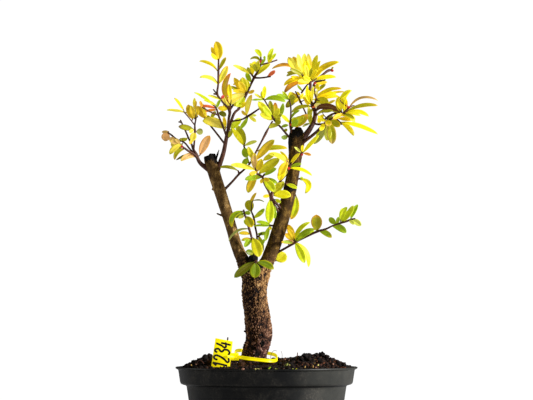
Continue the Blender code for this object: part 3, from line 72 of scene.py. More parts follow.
# Each leafy shoot: its stems as x, y, z and radius, and its leaves as foot x, foot z, tip x, tip z,
# width seen from the front, bow to the left of the way, lean of the tip in y or RULED, and tint,
# with the rim's own tint after a slash
SHOOTS: dict[str, tuple] = {
    "left_outer_shoot": ((
        ((-56, 7, 339, 2.6), (-61, 6.5, 343, 2.5), (-66, 6, 347, 2.1), (-68.5, 5.5, 351, 1.8),
         (-69.6, 5, 355, 1.5), (-73, 4, 360.5, 1.3), (-75, 8, 366, 1), (-77.5, 12, 371, 0.9),
         (-81, 17, 379, 0.85), (-86.4, 24, 390.5, 0.8)),
        ((-85.2, 22.6, 388, 0.7), (-88.2, 23.6, 388.8, 0.8)),
        ((-73, 4, 360.5, 1.1), (-72.2, 1, 368, 0.95), (-71.5, -3, 379, 1.2), (-71.6, -6, 385, 0.85),
         (-70.4, -9, 393.4, 0.8), (-72.4, -12, 403, 0.6)),
        ((-70.6, -8.6, 392.8, 0.9), (-68.4, -9, 393.7, 0.8)),
        ((-71.6, -6, 385, 0.7), (-77.4, -12, 392.4, 0.6), (-82.4, -17, 398.2, 0.6)),
        ((-69, 5.2, 352, 1.6), (-72.6, 3, 356, 1.4), (-77, -1, 358.6, 1.2), (-81, -5, 361.4, 1.1),
         (-85, -9, 364.4, 0.9)),
        ((-73.4, 3, 357.6, 1), (-77, 7, 361.6, 0.9), (-82.5, 10, 368, 0.9), (-90.6, 13, 371.6, 0.9),
         (-96, 15, 376, 0.9), (-101, 17, 379, 0.8)),
    ), (
        (-101, 379, -102, 369.3, 7.6, 0.4, RULED, "PEACH/TAN"),
        (-91, 370.5, -94.5, 363.2, 5, 0, RULED, "KHAKI/TAN"),
        (-91, 371, -98, 370.4, 3.4, -0.8, RULED, "TAN"),
        (-86.4, 368.6, -84.8, 372.4, 3, 0, RULED, "OLIVE"),
        (-84, 369, -79.2, 372, 2.6, 0.3, RULED, "OLIVE"),
        (-84.5, 366, -96.7, 355.8, 5, -1.6, -5, "KHAKI/OLIVE"),
        (-81.4, 361.4, -91.8, 350.3, 3.8, -3.2, -4, "OLIVE/TAN"),
        (-73, 356.4, -90.6, 350.2, 2, -0.8, 3, "DARK_OLIVE/BROWN"),
        (-68.6, 353.6, -85.8, 349.2, 4.8, -3.2, -6, "PEACH/KHAKI"),
        (-66.7, 355, -56.6, 374.8, 7.6, 0.8, -6, "PEACH/ORANGE"),
        (-72.6, 380.4, -88, 383.7, 5, -0.6, -4, "OLIVE/BROWN"),
        (-71.6, 378.2, -74.6, 369.4, 6, 0, -5, "KHAKI/PALE_YELLOW"),
        (-70.4, 378.6, -63.4, 378.8, 5.6, 0, 3, "GREY_GREEN"),
        (-73.4, 391, -78.2, 405.8, 6, 0.8, 4, "OCHRE"),
        (-72.6, 403, -71.8, 412.4, 2.5, 0, RULED, "PALE_YELLOW"),
        (-71.6, 401, -70.2, 409.4, 2.2, 0, RULED, "OCHRE"),
        (-80, 397.4, -99.8, 400.2, 2, -0.8, RULED, "PALE_YELLOW"),
        (-82.4, 399.4, -92, 412.2, 2.2, -0.6, RULED, "YELLOW/OCHRE"),
    )),
    "left_main_shoot": ((
        ((-50.4, 7.5, 337, 2.8), (-47, 7, 346, 2.6), (-43.3, 6.5, 356.8, 2.2), (-40.6, 6, 370, 2),
         (-38.8, 6, 379, 1.8), (-34.8, 9, 391, 1.5), (-31.7, 11, 398, 1.4), (-27.4, 13, 402, 1.3),
         (-20, 17, 417, 1.4), (-15.6, 20, 426.5, 1.1), (-12.5, 22, 433, 1.4), (-8.5, 23, 440, 0.9),
         (-5.8, 24, 446, 0.9), (-5.8, 25, 454, 0.8)),
        ((-38.8, 6, 379, 1.5), (-37.9, 2, 391, 1.3), (-37, -1, 400, 1.7), (-40, -2, 404, 1.1),
         (-42.5, -5, 406.5, 0.95), (-47, -8, 412.5, 0.95), (-49, -10, 415.5, 1.2), (-48.3, -12, 425, 1.1),
         (-48, -15, 439, 1.2), (-47.8, -17, 450.4, 0.9)),
        ((-37, -1, 400, 1.2), (-36, 1, 405.4, 0.9)), ((-37, -1, 400, 1.3), (-33, 0.5, 405.8, 1)),
        ((-28, 12.7, 401, 1.1), (-28.8, 12.4, 403, 0.9)),
        ((-49, -10, 415.5, 0.8), (-53.2, -8, 420.8, 0.7)),
        ((-49, -10, 415.5, 0.9), (-52.8, -11, 416.5, 0.9)),
        ((-41.6, 6, 366, 1), (-48, 14, 374.5, 1), (-57, 24, 386, 0.9), (-61.4, 29, 392, 0.9)),
        ((-39.8, 5.4, 374, 1.3), (-42.5, -2, 381, 1.1), (-46, -10, 390, 0.9), (-48, -14, 395, 1.2),
         (-50, -15.5, 401.5, 0.9), (-52.6, -17, 404.8, 0.7)),
        ((-48, -14, 395, 0.9), (-56, -18, 398.2, 0.8), (-64, -22, 402.6, 0.8)),
        ((-35.4, 8.6, 389, 0.9), (-24.5, 3, 391, 0.8), (-19.5, 0, 393.6, 1.2), (-5, -6, 403, 0.8)),
        ((-12.5, 22, 433, 1.1), (-6, 20.6, 432.8, 0.85), (4.3, 18, 434.2, 0.8)),
        ((-5.8, 24, 446, 0.9), (2, 26, 448, 0.8), (10.8, 29, 451, 0.7)),
        ((-12.5, 22, 433, 1.1), (-16.6, 20, 438.2, 0.8)),
    ), (
        (-61.6, 392, -71.2, 404.4, 6.6, -0.6, 4, "OCHRE"), (-56, 392, -60.4, 394.6, 3, 0, 2, "OLIVE"),
        (-40.6, 381.5, -64, 389.2, 8.6, -2.6, -9, "KHAKI/OLIVE_YELLOW"),
        (-50.4, 401.4, -66.8, 403.6, 2.2, -0.8, 5, "RED_ORANGE"),
        (-49.4, 400, -61.2, 398.4, 2.2, -0.6, 4, "ORANGE"),
        (-64, 402.4, -66.2, 409.2, 2.6, 0, RULED, "ORANGE/YELLOW"),
        (-48, 397, -40.4, 393.8, 4.6, 1, -3, "DARK_OLIVE"),
        (-49.6, 402, -46, 410.4, 2.6, 0.4, -2, "GREEN"),
        (-52.8, 404, -72.2, 417.6, 2.2, -1.4, RULED, "YELLOW_GREEN"),
        (-50.2, 404.4, -62.8, 409.6, 1.8, -0.8, RULED, "PALE_YELLOW"),
        (-44.6, 409.8, -58.6, 414.6, 1.8, -0.6, RULED, "PALE_YELLOW"),
        (-45.6, 411.6, -42.2, 414.8, 2.4, 0, RULED, "RED"),
        (-48.2, 425.4, -66.8, 432.6, 3.2, -3, -5, "PALE_YELLOW"),
        (-48, 426, -38.8, 444.2, 5.6, 0, -4, "PALE_YELLOW/ORANGE"),
        (-49, 439, -67.2, 449, 2.6, -2.2, 5, "YELLOW"),
        (-46.8, 440.6, -40.4, 452.8, 3.2, 0.4, 4, "OLIVE/OCHRE"),
        (-47.6, 450, -50.7, 468.6, 8, -1.4, 2, "GOLD"), (-48.2, 450.2, -55, 463.2, 4, 0.4, 5, "GOLD"),
        (-48.4, 450, -55, 456.6, 3, 0.6, -5, "YELLOW"),
        (-37.4, 407, -35.8, 437.2, 5, 5.4, -4, "OCHRE/RED_ORANGE"),
        (-21, 416, -43.4, 403.2, 8, -2.4, -12, "KHAKI/GREY_GREEN"),
        (-22, 414.6, -30.6, 403.8, 6, 0.6, -7, "YELLOW_GREEN"),
        (-19, 417.6, -12.2, 420.5, 3, -0.5, RULED, "OCHRE"),
        (-20.2, 418, -24, 433.2, 8, 0.6, -4, "OLIVE_YELLOW"),
        (-20.6, 419.4, -32.8, 433.2, 4.2, 0.6, 6, "YELLOW"),
        (-20, 420.6, -33.8, 426, 3, -3.4, 8, "OCHRE"), (-21.4, 419, -36.7, 424.2, 3.2, 0.8, -3, "OLIVE"),
        (-21.6, 418, -31, 419, 2.4, 0.6, 2, "YELLOW"),
        (-15.4, 436.4, -33.4, 445.2, 3.2, -0.8, RULED, "PALE_YELLOW"),
        (-15.2, 428.4, -20, 438.4, 4.2, 0.6, RULED, "GREEN"),
        (-14, 434.6, -11, 449.7, 5, 1.6, RULED, "YELLOW"),
        (-16.2, 437.6, -19.2, 443.4, 3, 0, RULED, "OLIVE"),
        (-11.4, 434.6, 3.9, 447.5, 4.4, 0.8, RULED, "OLIVE_YELLOW"),
        (1.2, 434.8, 8.7, 440.2, 3.4, -0.4, RULED, "RED_ORANGE"),
        (-5.6, 453, -12, 460.8, 4, -1.8, RULED, "YELLOW_GREEN"),
        (-6, 447.4, -16.6, 451.6, 2.2, -4, RULED, "OLIVE"),
        (-6, 446.6, -10.7, 441.2, 4, 0.4, RULED, "OLIVE"),
        (1.6, 448.4, 6.8, 463, 4, 0.8, RULED, "YELLOW_GREEN"),
        (4.2, 449.6, 9.8, 457.6, 2.6, 0.5, RULED, "YELLOW_GREEN"),
        (-19.8, 394.6, -14.6, 415.6, 4.6, 0.9, -7, "PALE_YELLOW/ORANGE"),
        (-27.2, 402.2, -21.4, 412, 2.6, 0, RULED, "YELLOW_GREEN"),
        (-20, 394.6, -24.8, 399.8, 2.6, 0.3, RULED, "OCHRE"),
        (-18, 393.6, -10.3, 388.3, 3, 0.6, RULED, "PALE_YELLOW"),
        (-17.6, 394, -9.8, 394.7, 2.2, 0.6, RULED, "PALE_GREEN"),
        (-18.6, 393, -26.8, 381.2, 3.6, 0.5, -3, "GREEN"),
        (-35.4, 380.6, -25.2, 392, 6, 0.8, 6, "YELLOW_GREEN"),
    )),
    "left_mid_shoot": ((
        ((-45.4, 6.5, 317.4, 1.7), (-40.8, 8, 322, 1.4), (-34, 10, 329, 1.2), (-27.4, 13, 336.4, 1.2),
         (-22.9, 15, 340.4, 1), (-15.8, 18, 348, 1), (-10.4, 21, 358.7, 1), (-5.2, 22, 368.6, 1),
         (-0.6, 23, 377.5, 1.4), (2, 23, 382.4, 0.9), (6.2, 23, 389.6, 0.9)),
        ((-27.4, 13, 336.4, 1), (-28.4, 12, 339.6, 0.8)),
        ((-17.2, 17.4, 346.6, 0.9), (-20.4, 15, 356, 0.8), (-22.6, 12, 364.6, 0.9)),
    ), (
        (-28.6, 339.6, -46.4, 342.6, 2.6, -1.6, -18, "OLIVE"),
        (-22.9, 365, -34.8, 382.2, 4.6, 0, -5, "BRIGHT_YELLOW"),
        (-22, 365, -31, 385.2, 6.2, -2, 3, "OLIVE"), (-22, 363, -19.2, 352.8, 6.5, -0.6, -5, "GREEN"),
        (-22, 364.6, -9.4, 369.2, 3, 0.6, -4, "PALE_GREEN"),
        (-18.6, 352.4, -24.4, 345.3, 5, 0.4, -6, "GREEN"),
        (-10, 359, 21.2, 362.3, 4.2, 1.4, 4, "OLIVE/GOLD"),
    )),
    "head_left_twig": ((
        ((26.6, -6, 368.6, 1.2), (21.4, -9, 374.4, 1.2), (14.2, -13, 383, 1.1), (8.4, -17, 389, 0.9),
         (6.2, -19, 393, 1.1), (1, -21, 404.6, 0.8), (-2.4, -22, 410.6, 0.7)),
    ), (
        (6, 393, -8.2, 408.6, 7, 0.8, -4, "OLIVE_YELLOW"),
        (6.3, 393.4, 3.4, 409.6, 4.6, 0.2, 4, "OLIVE"),
        (8.2, 390.4, 8.6, 407.8, 4.6, -0.4, 5, "OCHRE/RED_ORANGE"),
        (8.6, 390, 16.5, 407, 4.2, -2.4, -3, "GREEN"),
        (7.4, 390.4, -5, 399.3, 5.4, 1.2, 3, "OLIVE_YELLOW"),
        (8.4, 389.6, 13.6, 386, 5.6, 0.4, -4, "OLIVE"), (8, 390.8, 14.6, 396.6, 5, 0.2, -5, "OLIVE"),
        (-1.8, 410, 19, 407.8, 4.6, 3.2, -4, "GREEN"), (-2.9, 410.4, -4.2, 419, 3.6, 0.2, 3, "OLIVE"),
        (-2.5, 411, -1.6, 424, 3.6, 0.2, -3, "BRIGHT_YELLOW"),
        (-3.4, 410.8, -12.2, 416.4, 1.8, 0, 3, "PALE_YELLOW"),
        (-2.6, 410, -14.6, 409.8, 1.4, 0, -3, "GREEN"), (12.4, 384.4, 2.4, 382, 4, -1.6, -3, "OLIVE"),
        (14.6, 383, 21.8, 384.8, 2.6, 0.5, -3, "GREEN"), (17.6, 379, 20.8, 381, 2.6, 0, -2, "OLIVE"),
        (21, 374.6, 14.8, 373.4, 4, 1.2, -4, "DARK_GREEN"),
    )),
    "head_upright_twig": ((
        ((27.4, -7, 371, 1.3), (24.8, -10, 379, 1.2), (23.7, -12, 386.6, 1.4), (24.1, -14, 392, 0.9),
         (24.1, -17, 404, 0.8), (22.8, -19, 410.4, 0.7)),
        ((24.6, -10.6, 381.4, 0.9), (27.6, -12, 385.2, 0.9)),
    ), (
        (23.4, 387, 14.5, 395.3, 3.2, -0.4, -5, "BRIGHT_YELLOW"),
        (24.4, 391, 33.2, 399.7, 2, 1.4, 3, "GREEN"),
        (26, 383.6, 41, 395.4, 8, -0.6, -9, "OLIVE/ORANGE"),
        (23, 410, 10, 415.3, 3.2, -0.8, -4, "GREEN"),
        (22.4, 410.6, 15.8, 418.8, 2.6, 0, 3, "YELLOW_GREEN"),
    )),
    "crown_leader": ((
        ((30.6, -5.5, 365, 3.6), (36, -5.2, 372, 3.5), (40.5, -4.6, 377.2, 2.9), (44.6, -4.2, 383.5, 2.5),
         (47.5, -3.6, 390, 2.3), (48.5, -3, 398, 1.9), (46.6, -2, 403.5, 2.1), (44.6, 0, 409, 1.7),
         (43.5, 3, 418, 1.5), (44, 5, 426, 1.4), (42.8, 6, 432, 1.2)),
        ((46.4, -2, 404.6, 1.2), (49.6, -6, 411, 1), (48.2, -8, 417, 1), (48, -9, 427.2, 1.3),
         (54, -11, 429.2, 0.85), (58.8, -13, 430.2, 0.7)),
        ((44, 5.4, 428, 0.9), (50, 8, 431.6, 0.9), (56, 12, 435.6, 1.1), (62, 16, 440, 1.4),
         (66, 18, 440.8, 1)),
        ((43.6, 5.6, 428, 0.9), (40, 9, 424.6, 0.8), (35, 14, 417.6, 1)),
        ((45, -3, 384.6, 1), (42, 0, 391, 0.85), (37.5, 5, 401, 0.8), (32.5, 11, 412, 1.1),
         (29, 14, 419.2, 0.7)),
        ((43, 6, 430, 1.1), (38, 3.6, 433.2, 1), (33.8, 1.6, 437.6, 1)),
        ((46.6, -3.6, 387, 1.1), (52, -6, 385.8, 1), (58, -8.6, 386.6, 1)),
    ), (
        (34, 437, 5.3, 441.4, 2.8, -6, -4, "ORANGE/OCHRE"),
        (33.6, 437.8, 21.8, 453.2, 7, 0.8, -4, "PALE_YELLOW/OCHRE"),
        (34, 438, 26.2, 453.9, 5, -0.8, 6, "OCHRE"),
        (36.4, 435.6, 31.3, 456.4, 5, 0.2, -6, "PALE_YELLOW"),
        (40, 433, 38, 457.2, 6, 0.4, 4, "PALE_YELLOW"),
        (42.4, 433, 41.6, 456.8, 4.6, -0.4, -5, "OCHRE/OLIVE"),
        (44, 432, 51, 455.8, 5, 0.4, 3, "OLIVE_YELLOW"),
        (44.6, 430.6, 72.8, 448.4, 5, 3.4, -6, "GOLD/YELLOW"),
        (47, 430, 69.8, 433.4, 3.8, 1.2, 3, "YELLOW"), (41.4, 432, 38.8, 445.4, 4, 0, -9, "PALE_YELLOW"),
        (43, 433, 45.2, 442.4, 3, 0, -7, "OLIVE"), (44.6, 431, 50.2, 440.6, 3.2, 0.2, -8, "YELLOW"),
        (37, 434.6, 23.4, 441.2, 4, -0.6, -9, "OLIVE"),
        (34.4, 436.6, 19.8, 434.4, 2.6, -1.6, 7, "OLIVE"),
        (34.4, 437, 20.3, 437.6, 2.2, -0.8, 3, "OLIVE"),
        (40.6, 431, 17.2, 424.6, 4.2, -2.8, -6, "GOLD/YELLOW"),
        (40.8, 430, 17.7, 417.3, 4.8, -4, 4, "ORANGE/BROWN"),
        (36.4, 419.4, 31, 425.8, 1.8, 0.5, 3, "GREEN"), (48.6, 427, 60.8, 428.4, 3.2, -0.5, 3, "GOLD"),
        (48.4, 421, 54.2, 428.4, 3, 0.4, 4, "GOLD"), (48.6, 417.4, 59.2, 425.8, 3, 0.3, -3, "OLIVE"),
        (45.4, 405.6, 41.4, 424.8, 2.8, 3, -7, "BRIGHT_YELLOW"),
        (45.2, 407.6, 47, 423.8, 2.2, 0, -11, "PALE_YELLOW"),
        (49.4, 412, 50.6, 420.8, 2.4, 0, -4, "CREAM"),
        (49.2, 413, 75, 421.4, 3.2, 2.6, -7, "YELLOW/ORANGE"),
        (49.8, 411.4, 61.2, 416.7, 2.8, 0.6, 4, "DARK_OLIVE"),
        (49.6, 411, 78.4, 418.4, 2, 2.2, 2, "YELLOW/TAN"),
        (47.6, 405.6, 73.4, 413.4, 3.6, 3, 5, "YELLOW/ORANGE"),
        (47.6, 404.4, 62.4, 408, 5, 0.8, -8, "OLIVE"), (47, 403.6, 55.2, 404.4, 4.2, 0.8, -6, "CREAM"),
        (45.8, 403.4, 25.2, 397.8, 3.2, -3, -3, "OLIVE"), (46.6, 402, 44, 387.8, 3.8, -2.2, -8, "OLIVE"),
        (43.6, 387, 36, 383.4, 1.8, -0.5, -4, "GREY_GREEN"),
        (32, 412.4, 19.5, 402.8, 5.6, -1, -6, "OLIVE/BROWN"),
        (32, 413, 23.3, 418.2, 3.6, 0.4, 5, "OCHRE"), (33, 412.4, 37.2, 417.2, 2.2, 0, RULED, "YELLOW"),
        (32.8, 411.4, 34.2, 407, 2.2, 0, RULED, "YELLOW"),
        (51.6, 386.4, 57.8, 395.2, 3, 2, -3, "YELLOW"),
        (58, 386.8, 61.2, 380.4, 5.8, 0.4, -2, "YELLOW/PEACH"),
    )),
    "right_spray": ((
        ((31.6, -6.6, 362, 2.2), (37, -9, 368, 1.8), (44, -13, 373.4, 1.6), (50, -16, 378.4, 1.5),
         (56, -19, 384.6, 1.4), (58.4, -20, 387, 1.4), (62, -22, 389.6, 1), (66, -24, 392, 1),
         (70, -26, 395.5, 1), (77, -29, 396.8, 1.2), (79.6, -30, 399.6, 1.3), (81.8, -31, 402, 0.9)),
        ((66, -24, 392, 0.9), (71, -22.6, 390, 0.8), (74.8, -21, 385.4, 0.9)),
    ), (
        (74.8, 397.6, 49.6, 402.6, 5.6, -2.8, 6, "BROWN/BARK_CHIP"),
        (73, 396.6, 50.6, 395.4, 2.2, -3.2, 9, "OLIVE"),
        (74.6, 397.4, 72, 413.4, 5, 1.6, 4, "OLIVE_YELLOW"),
        (76.2, 397.6, 76.4, 414, 4.2, -2.2, 3, "YELLOW"),
        (77.4, 398, 84.8, 419.6, 3.2, 4.2, -3, "BRIGHT_YELLOW"), (82, 402, 111, 409, 2, 6, -4, "TAN"),
        (78.6, 397.6, 111, 404.4, 3.2, 3, 5, "OLIVE/OCHRE"),
        (78.6, 397.2, 101.8, 393.4, 3.6, 3, -7, "BRIGHT_YELLOW"),
        (78.4, 396.8, 93.8, 394.3, 2.2, 0.6, 3, "OLIVE_YELLOW"),
        (77.2, 395.8, 87.2, 390.8, 2.6, 1, -6, "OLIVE"),
        (76.4, 395.8, 88.2, 387.2, 3.2, 1.6, 5, "YELLOW"),
        (76.6, 396, 66, 390.8, 4.2, -0.6, -6, "GOLD/ORANGE"),
        (73.4, 388, 111, 375.8, 3.8, 2.4, -4, "BRIGHT_YELLOW"),
        (73.6, 387.4, 87.2, 374.2, 4.2, 2, 5, "YELLOW/OLIVE"),
        (62, 390.4, 61, 384, 6, 0, -4, "YELLOW/PEACH"),
        (63, 389.4, 73.2, 383.3, 6, 0.6, -5, "OLIVE/GOLD"),
        (62.6, 388.6, 65.6, 366, 8.6, 0.6, -3, "OLIVE/TAN"),
        (59.4, 386, 46.8, 366.3, 5, 1.8, 6, "GREY_GREEN"),
        (57.4, 385, 49.4, 371.8, 4.2, 0.4, 8, "YELLOW_GREEN"),
        (60, 389.4, 66.2, 394.4, 3.2, 1, 4, "DARK_OLIVE"),
    )),
    "inner_shoot": ((
        ((15.4, -3.4, 294, 1.7), (11, -7, 300.4, 1.5), (4.4, -10, 311, 1.3), (3, -11, 317, 1.2),
         (-2.2, -13, 326.6, 1), (-4, -14, 333, 1.2), (-9.7, -16, 337.2, 1), (-10.8, -17, 350, 0.7)),
        ((16, -4.6, 299.6, 1.6), (11.6, -8.6, 305, 1.4), (5, -10.6, 314.6, 1.4), (13, -14, 328, 1.1),
         (21.1, -17, 338.6, 1.1), (22.8, -18, 343.7, 1.5), (27.4, -19, 349.5, 0.9),
         (35.4, -20, 356.6, 1.4)),
        ((-4, -14, 333, 1), (-1.8, -15, 336.6, 0.9)),
    ), (
        (-2.2, 334.6, 10, 341.8, 4.2, 0.8, -4, "GREEN"),
        (-4.8, 332.6, -21.6, 330.6, 5, -1.2, -4, "GREEN"),
        (-9, 336, -18.4, 317.3, 7, -1.4, 3, "OCHRE/OLIVE"), (-4, 331.8, -6, 327, 3, 0.3, -2, "GOLD"),
        (-2.8, 331, 7.6, 318.6, 7.6, 1, -4, "YELLOW_GREEN"),
        (-2.2, 331.6, 11.2, 326.5, 3.2, 1.2, 5, "GREEN"),
        (-11, 340, -12.1, 357.4, 5.6, 0.6, -4, "TAN/YELLOW"),
        (-9, 338.6, -4.8, 350.6, 5.2, 0.4, -6, "TAN/GOLD"),
        (-7.6, 336.6, 13.2, 351.3, 8, 0.8, -8, "OLIVE_YELLOW/OLIVE"),
        (-10.4, 350, 8, 370.4, 7, 1, -5, "OCHRE/OLIVE"),
        (-10.6, 340, -36, 345.2, 4.2, -1.2, -5, "PALE_YELLOW"),
        (-10.2, 338.4, -17.6, 336, 3, 0.5, -3, "GOLD"),
        (7, 314.6, 24.4, 314.4, 7.4, 1.6, -5, "BRIGHT_YELLOW"),
        (7, 316, 17.6, 328.8, 6, 0.4, 3, "OLIVE"), (8.6, 311, 14, 307.4, 3, 0.4, -4, "YELLOW_GREEN"),
        (4.2, 314.4, -3.6, 313.4, 3, -0.4, -2, "GOLD"),
        (3.6, 311, 2.8, 286.8, 8, 0.2, -4, "YELLOW_GREEN"), (6.6, 307, 8.2, 291.6, 4.2, 0, -3, "GREEN"),
        (22.2, 345, 1.4, 356.2, 4.2, -3, -3, "PALE_YELLOW"),
        (21.4, 345.2, 13, 329.2, 6.6, -1.8, -5, "YELLOW/OCHRE"),
        (22, 342.4, 13.5, 330, 2.4, 0.3, 3, "PALE_YELLOW"),
        (23.8, 342.6, 35, 346.2, 2.6, 0.8, -2, "GREEN"),
        (23.6, 342, 45.4, 334.4, 2.8, 1.6, -3, "BRIGHT_YELLOW"),
        (22, 345.6, 13.5, 358.9, 2.4, -1.4, 5, "YELLOW"),
        (23.8, 345.4, 33.2, 356.7, 2.8, 0.8, -4, "YELLOW"),
        (36.6, 357, 44.7, 354.9, 2.4, 0.3, -2, "ORANGE"),
        (34.8, 357.6, 27.8, 363.2, 1.8, 0, -3, "PALE_GREEN"),
        (36, 357.8, 36, 365.2, 2.6, 0.2, 3, "YELLOW"),
        (36.4, 357.6, 52.2, 374.8, 3.4, 0, -8, "BRIGHT_YELLOW"),
    )),
    "limb_side_leaves": ((
        ((26.6, -3.4, 330.8, 1), (33.6, -4.4, 331.6, 0.9)),
    ), (
        (33, 331.4, 36.8, 331.8, 3.4, 0, 3, "GREEN"),
        (33.4, 331.8, 38.4, 316.7, 5, 6.4, -3, "BRIGHT_YELLOW/OLIVE"),
    )),
    "limb_back_leaf": ((
        ((23.4, -1, 319, 1), (29, 5.2, 315.4, 0.9)),
    ), (
        (29.4, 315, 24, 290.8, 6.2, 2.6, 4, "YELLOW_GREEN/ORANGE"),
    )),
    "limb_knot_leaf": ((
        ((23.6, -6, 326.4, 1), (19.2, -12.4, 326.6, 0.9)),
    ), (
        (19.8, 326, 30.8, 321.8, 3.4, 0.6, -2, "YELLOW_GREEN"),
    )),
    "limb_inner_leaves": ((
        ((11, -2, 284.6, 1.1), (3.6, -4.4, 284.8, 0.9)),
    ), (
        (4.2, 285.4, -10.2, 288.4, 3, -0.4, -2, "GREEN"),
        (3.6, 284.2, -12.8, 284.2, 1.8, -0.6, -1, "GREEN"), (3, 284, -1, 269.4, 4, -0.6, -2, "GREEN"),
        (4, 284, 2.8, 280.6, 2.6, 0.4, -1, "BRIGHT_YELLOW"),
    )),
    "foot_leaf": ((
        ((5.4, 2, 250, 1), (9, 9.6, 249.6, 0.9)),
    ), (
        (9.4, 249.6, 19.2, 257, 10.6, -0.4, 2, "OLIVE_YELLOW"),
    )),
    "fork_shoot": ((
        ((-12, -2, 244, 1.3), (-12.6, -6, 259, 1.1), (-14.7, -9, 272, 1.1), (-17.2, -10, 281, 1.3),
         (-19.5, -11, 288.5, 0.95), (-21.8, -12, 296.5, 1.1), (-23, -12, 300.8, 0.9)),
        ((-12.2, -4, 253, 1.1), (-10.4, 1, 263, 0.95), (-9.6, 3, 274, 0.95), (-11.6, 5, 285, 1.1),
         (-12.8, 6, 292.6, 1.1), (-15.4, 8, 299.4, 0.8)),
        ((-9.8, 3, 272.6, 0.9), (-4.6, 2, 277, 0.8)),
    ), (
        (-22.6, 299, -34.5, 283, 4.6, -5.6, -1, "GREEN/GOLD"),
        (-21.8, 296.6, -30.8, 292.2, 4.2, -1.4, -1, "DARK_GREEN"),
        (-20.8, 294, -14.6, 283, 7.6, 0.6, -4, "OLIVE/GOLD"),
        (-13, 292.6, -2.1, 301.8, 4, -0.8, 4, "GREEN"), (-15.2, 298.6, -18.4, 310.3, 8, 0.2, 4, "OLIVE"),
        (-15.2, 299, -10.1, 317.8, 2.8, 2.2, 7, "OCHRE"),
        (-15.8, 276, -27.7, 277, 3.2, -0.8, -2, "OCHRE/GREEN"),
        (-17.4, 281.4, -37.8, 269.3, 1.8, -3.4, -1, "GREY_GREEN"),
        (-14.8, 271.4, -25.2, 270, 2.8, -0.6, -1, "OCHRE/GREEN"),
        (-14.6, 270.6, -22, 263.2, 4.2, -0.8, -2, "GREEN"),
        (-13.6, 272.6, -7.5, 253.4, 9.6, 0.8, -8, "OLIVE_YELLOW"),
        (-7.6, 274.6, -4.6, 257.6, 5, 0.4, 5, "OLIVE"),
        (-12.4, 256, -20.6, 259, 5, -0.6, -5, "DARK_GREEN"),
    )),
    "fork_front_tuft": ((
        ((-10.8, -6, 249.4, 1.4), (-10.6, -16.6, 248.4, 1.3)),
    ), (
        (-11.6, 248.4, -32.2, 232.8, 7, -0.9, 1, "DARK_OLIVE/DARK_GREEN"),
        (-10.7, 247.6, -11.8, 232.6, 9.6, 0, -3, "DARK_GREEN/OLIVE"),
        (-9.6, 248.2, 7.2, 241, 6, 2, -1, "DARK_GREEN/OLIVE_YELLOW"),
    )),
    "right_lower_shoot": ((
        ((6.6, -1, 255.4, 1.4), (12.9, -1.6, 258.8, 1.2), (20, -3.6, 262.8, 1.1), (27.4, -6, 267.2, 1.4),
         (31.3, -7.6, 269.5, 1), (40, -11, 273.7, 0.95), (50, -14, 278.6, 1.3), (60, -18, 281.7, 1),
         (65, -20, 284.2, 0.8), (71, -21.4, 286.4, 0.95), (75.4, -22.4, 287.8, 1.1),
         (80, -23.6, 289.2, 1.1), (84, -24.6, 290.8, 1), (88.4, -26, 291.8, 0.7)),
    ), (
        (27.2, 268.6, 21.4, 285.8, 6, -0.6, 5, "YELLOW/ORANGE"),
        (27.8, 268.6, 43.8, 288.2, 3.6, 3.4, 6, "YELLOW_GREEN"),
        (28.6, 268.6, 49.4, 280.8, 3, 3, -4, "GREEN"), (29, 268.6, 44.4, 278, 2.6, 0.8, -8, "GREEN"),
        (28.6, 267.6, 38, 247.3, 7, 0.6, -5, "YELLOW_GREEN"),
        (29.6, 268, 42, 243.1, 4.2, 4, 5, "BRIGHT_YELLOW"),
        (27, 267.4, 14.7, 268.2, 3, -0.5, -6, "GREEN/ORANGE"),
        (50.4, 279.4, 49.6, 295.8, 10, 0, -2, "OLIVE/ORANGE"),
        (52, 279.6, 65, 272.7, 5, 1.4, -4, "GREEN/GOLD"), (69.4, 286.2, 62.6, 292.8, 5, 0.3, 3, "GREEN"),
        (69.6, 286.4, 72, 293.6, 3.2, -0.3, -3, "GREEN"), (65, 284.4, 79.4, 277.3, 6, 2, -3, "GREEN"),
        (75.2, 288.4, 76.4, 302.5, 4.6, 0.8, 3, "YELLOW_GREEN"),
        (75.6, 288.2, 86.7, 305, 4.8, -0.8, -4, "YELLOW_GREEN"),
        (83.8, 291.2, 91.1, 306, 4, 0.4, 4, "GREEN"),
        (84.6, 290.6, 94.2, 284.4, 5, 0.9, -3, "PALE_GREEN"),
    )),
}

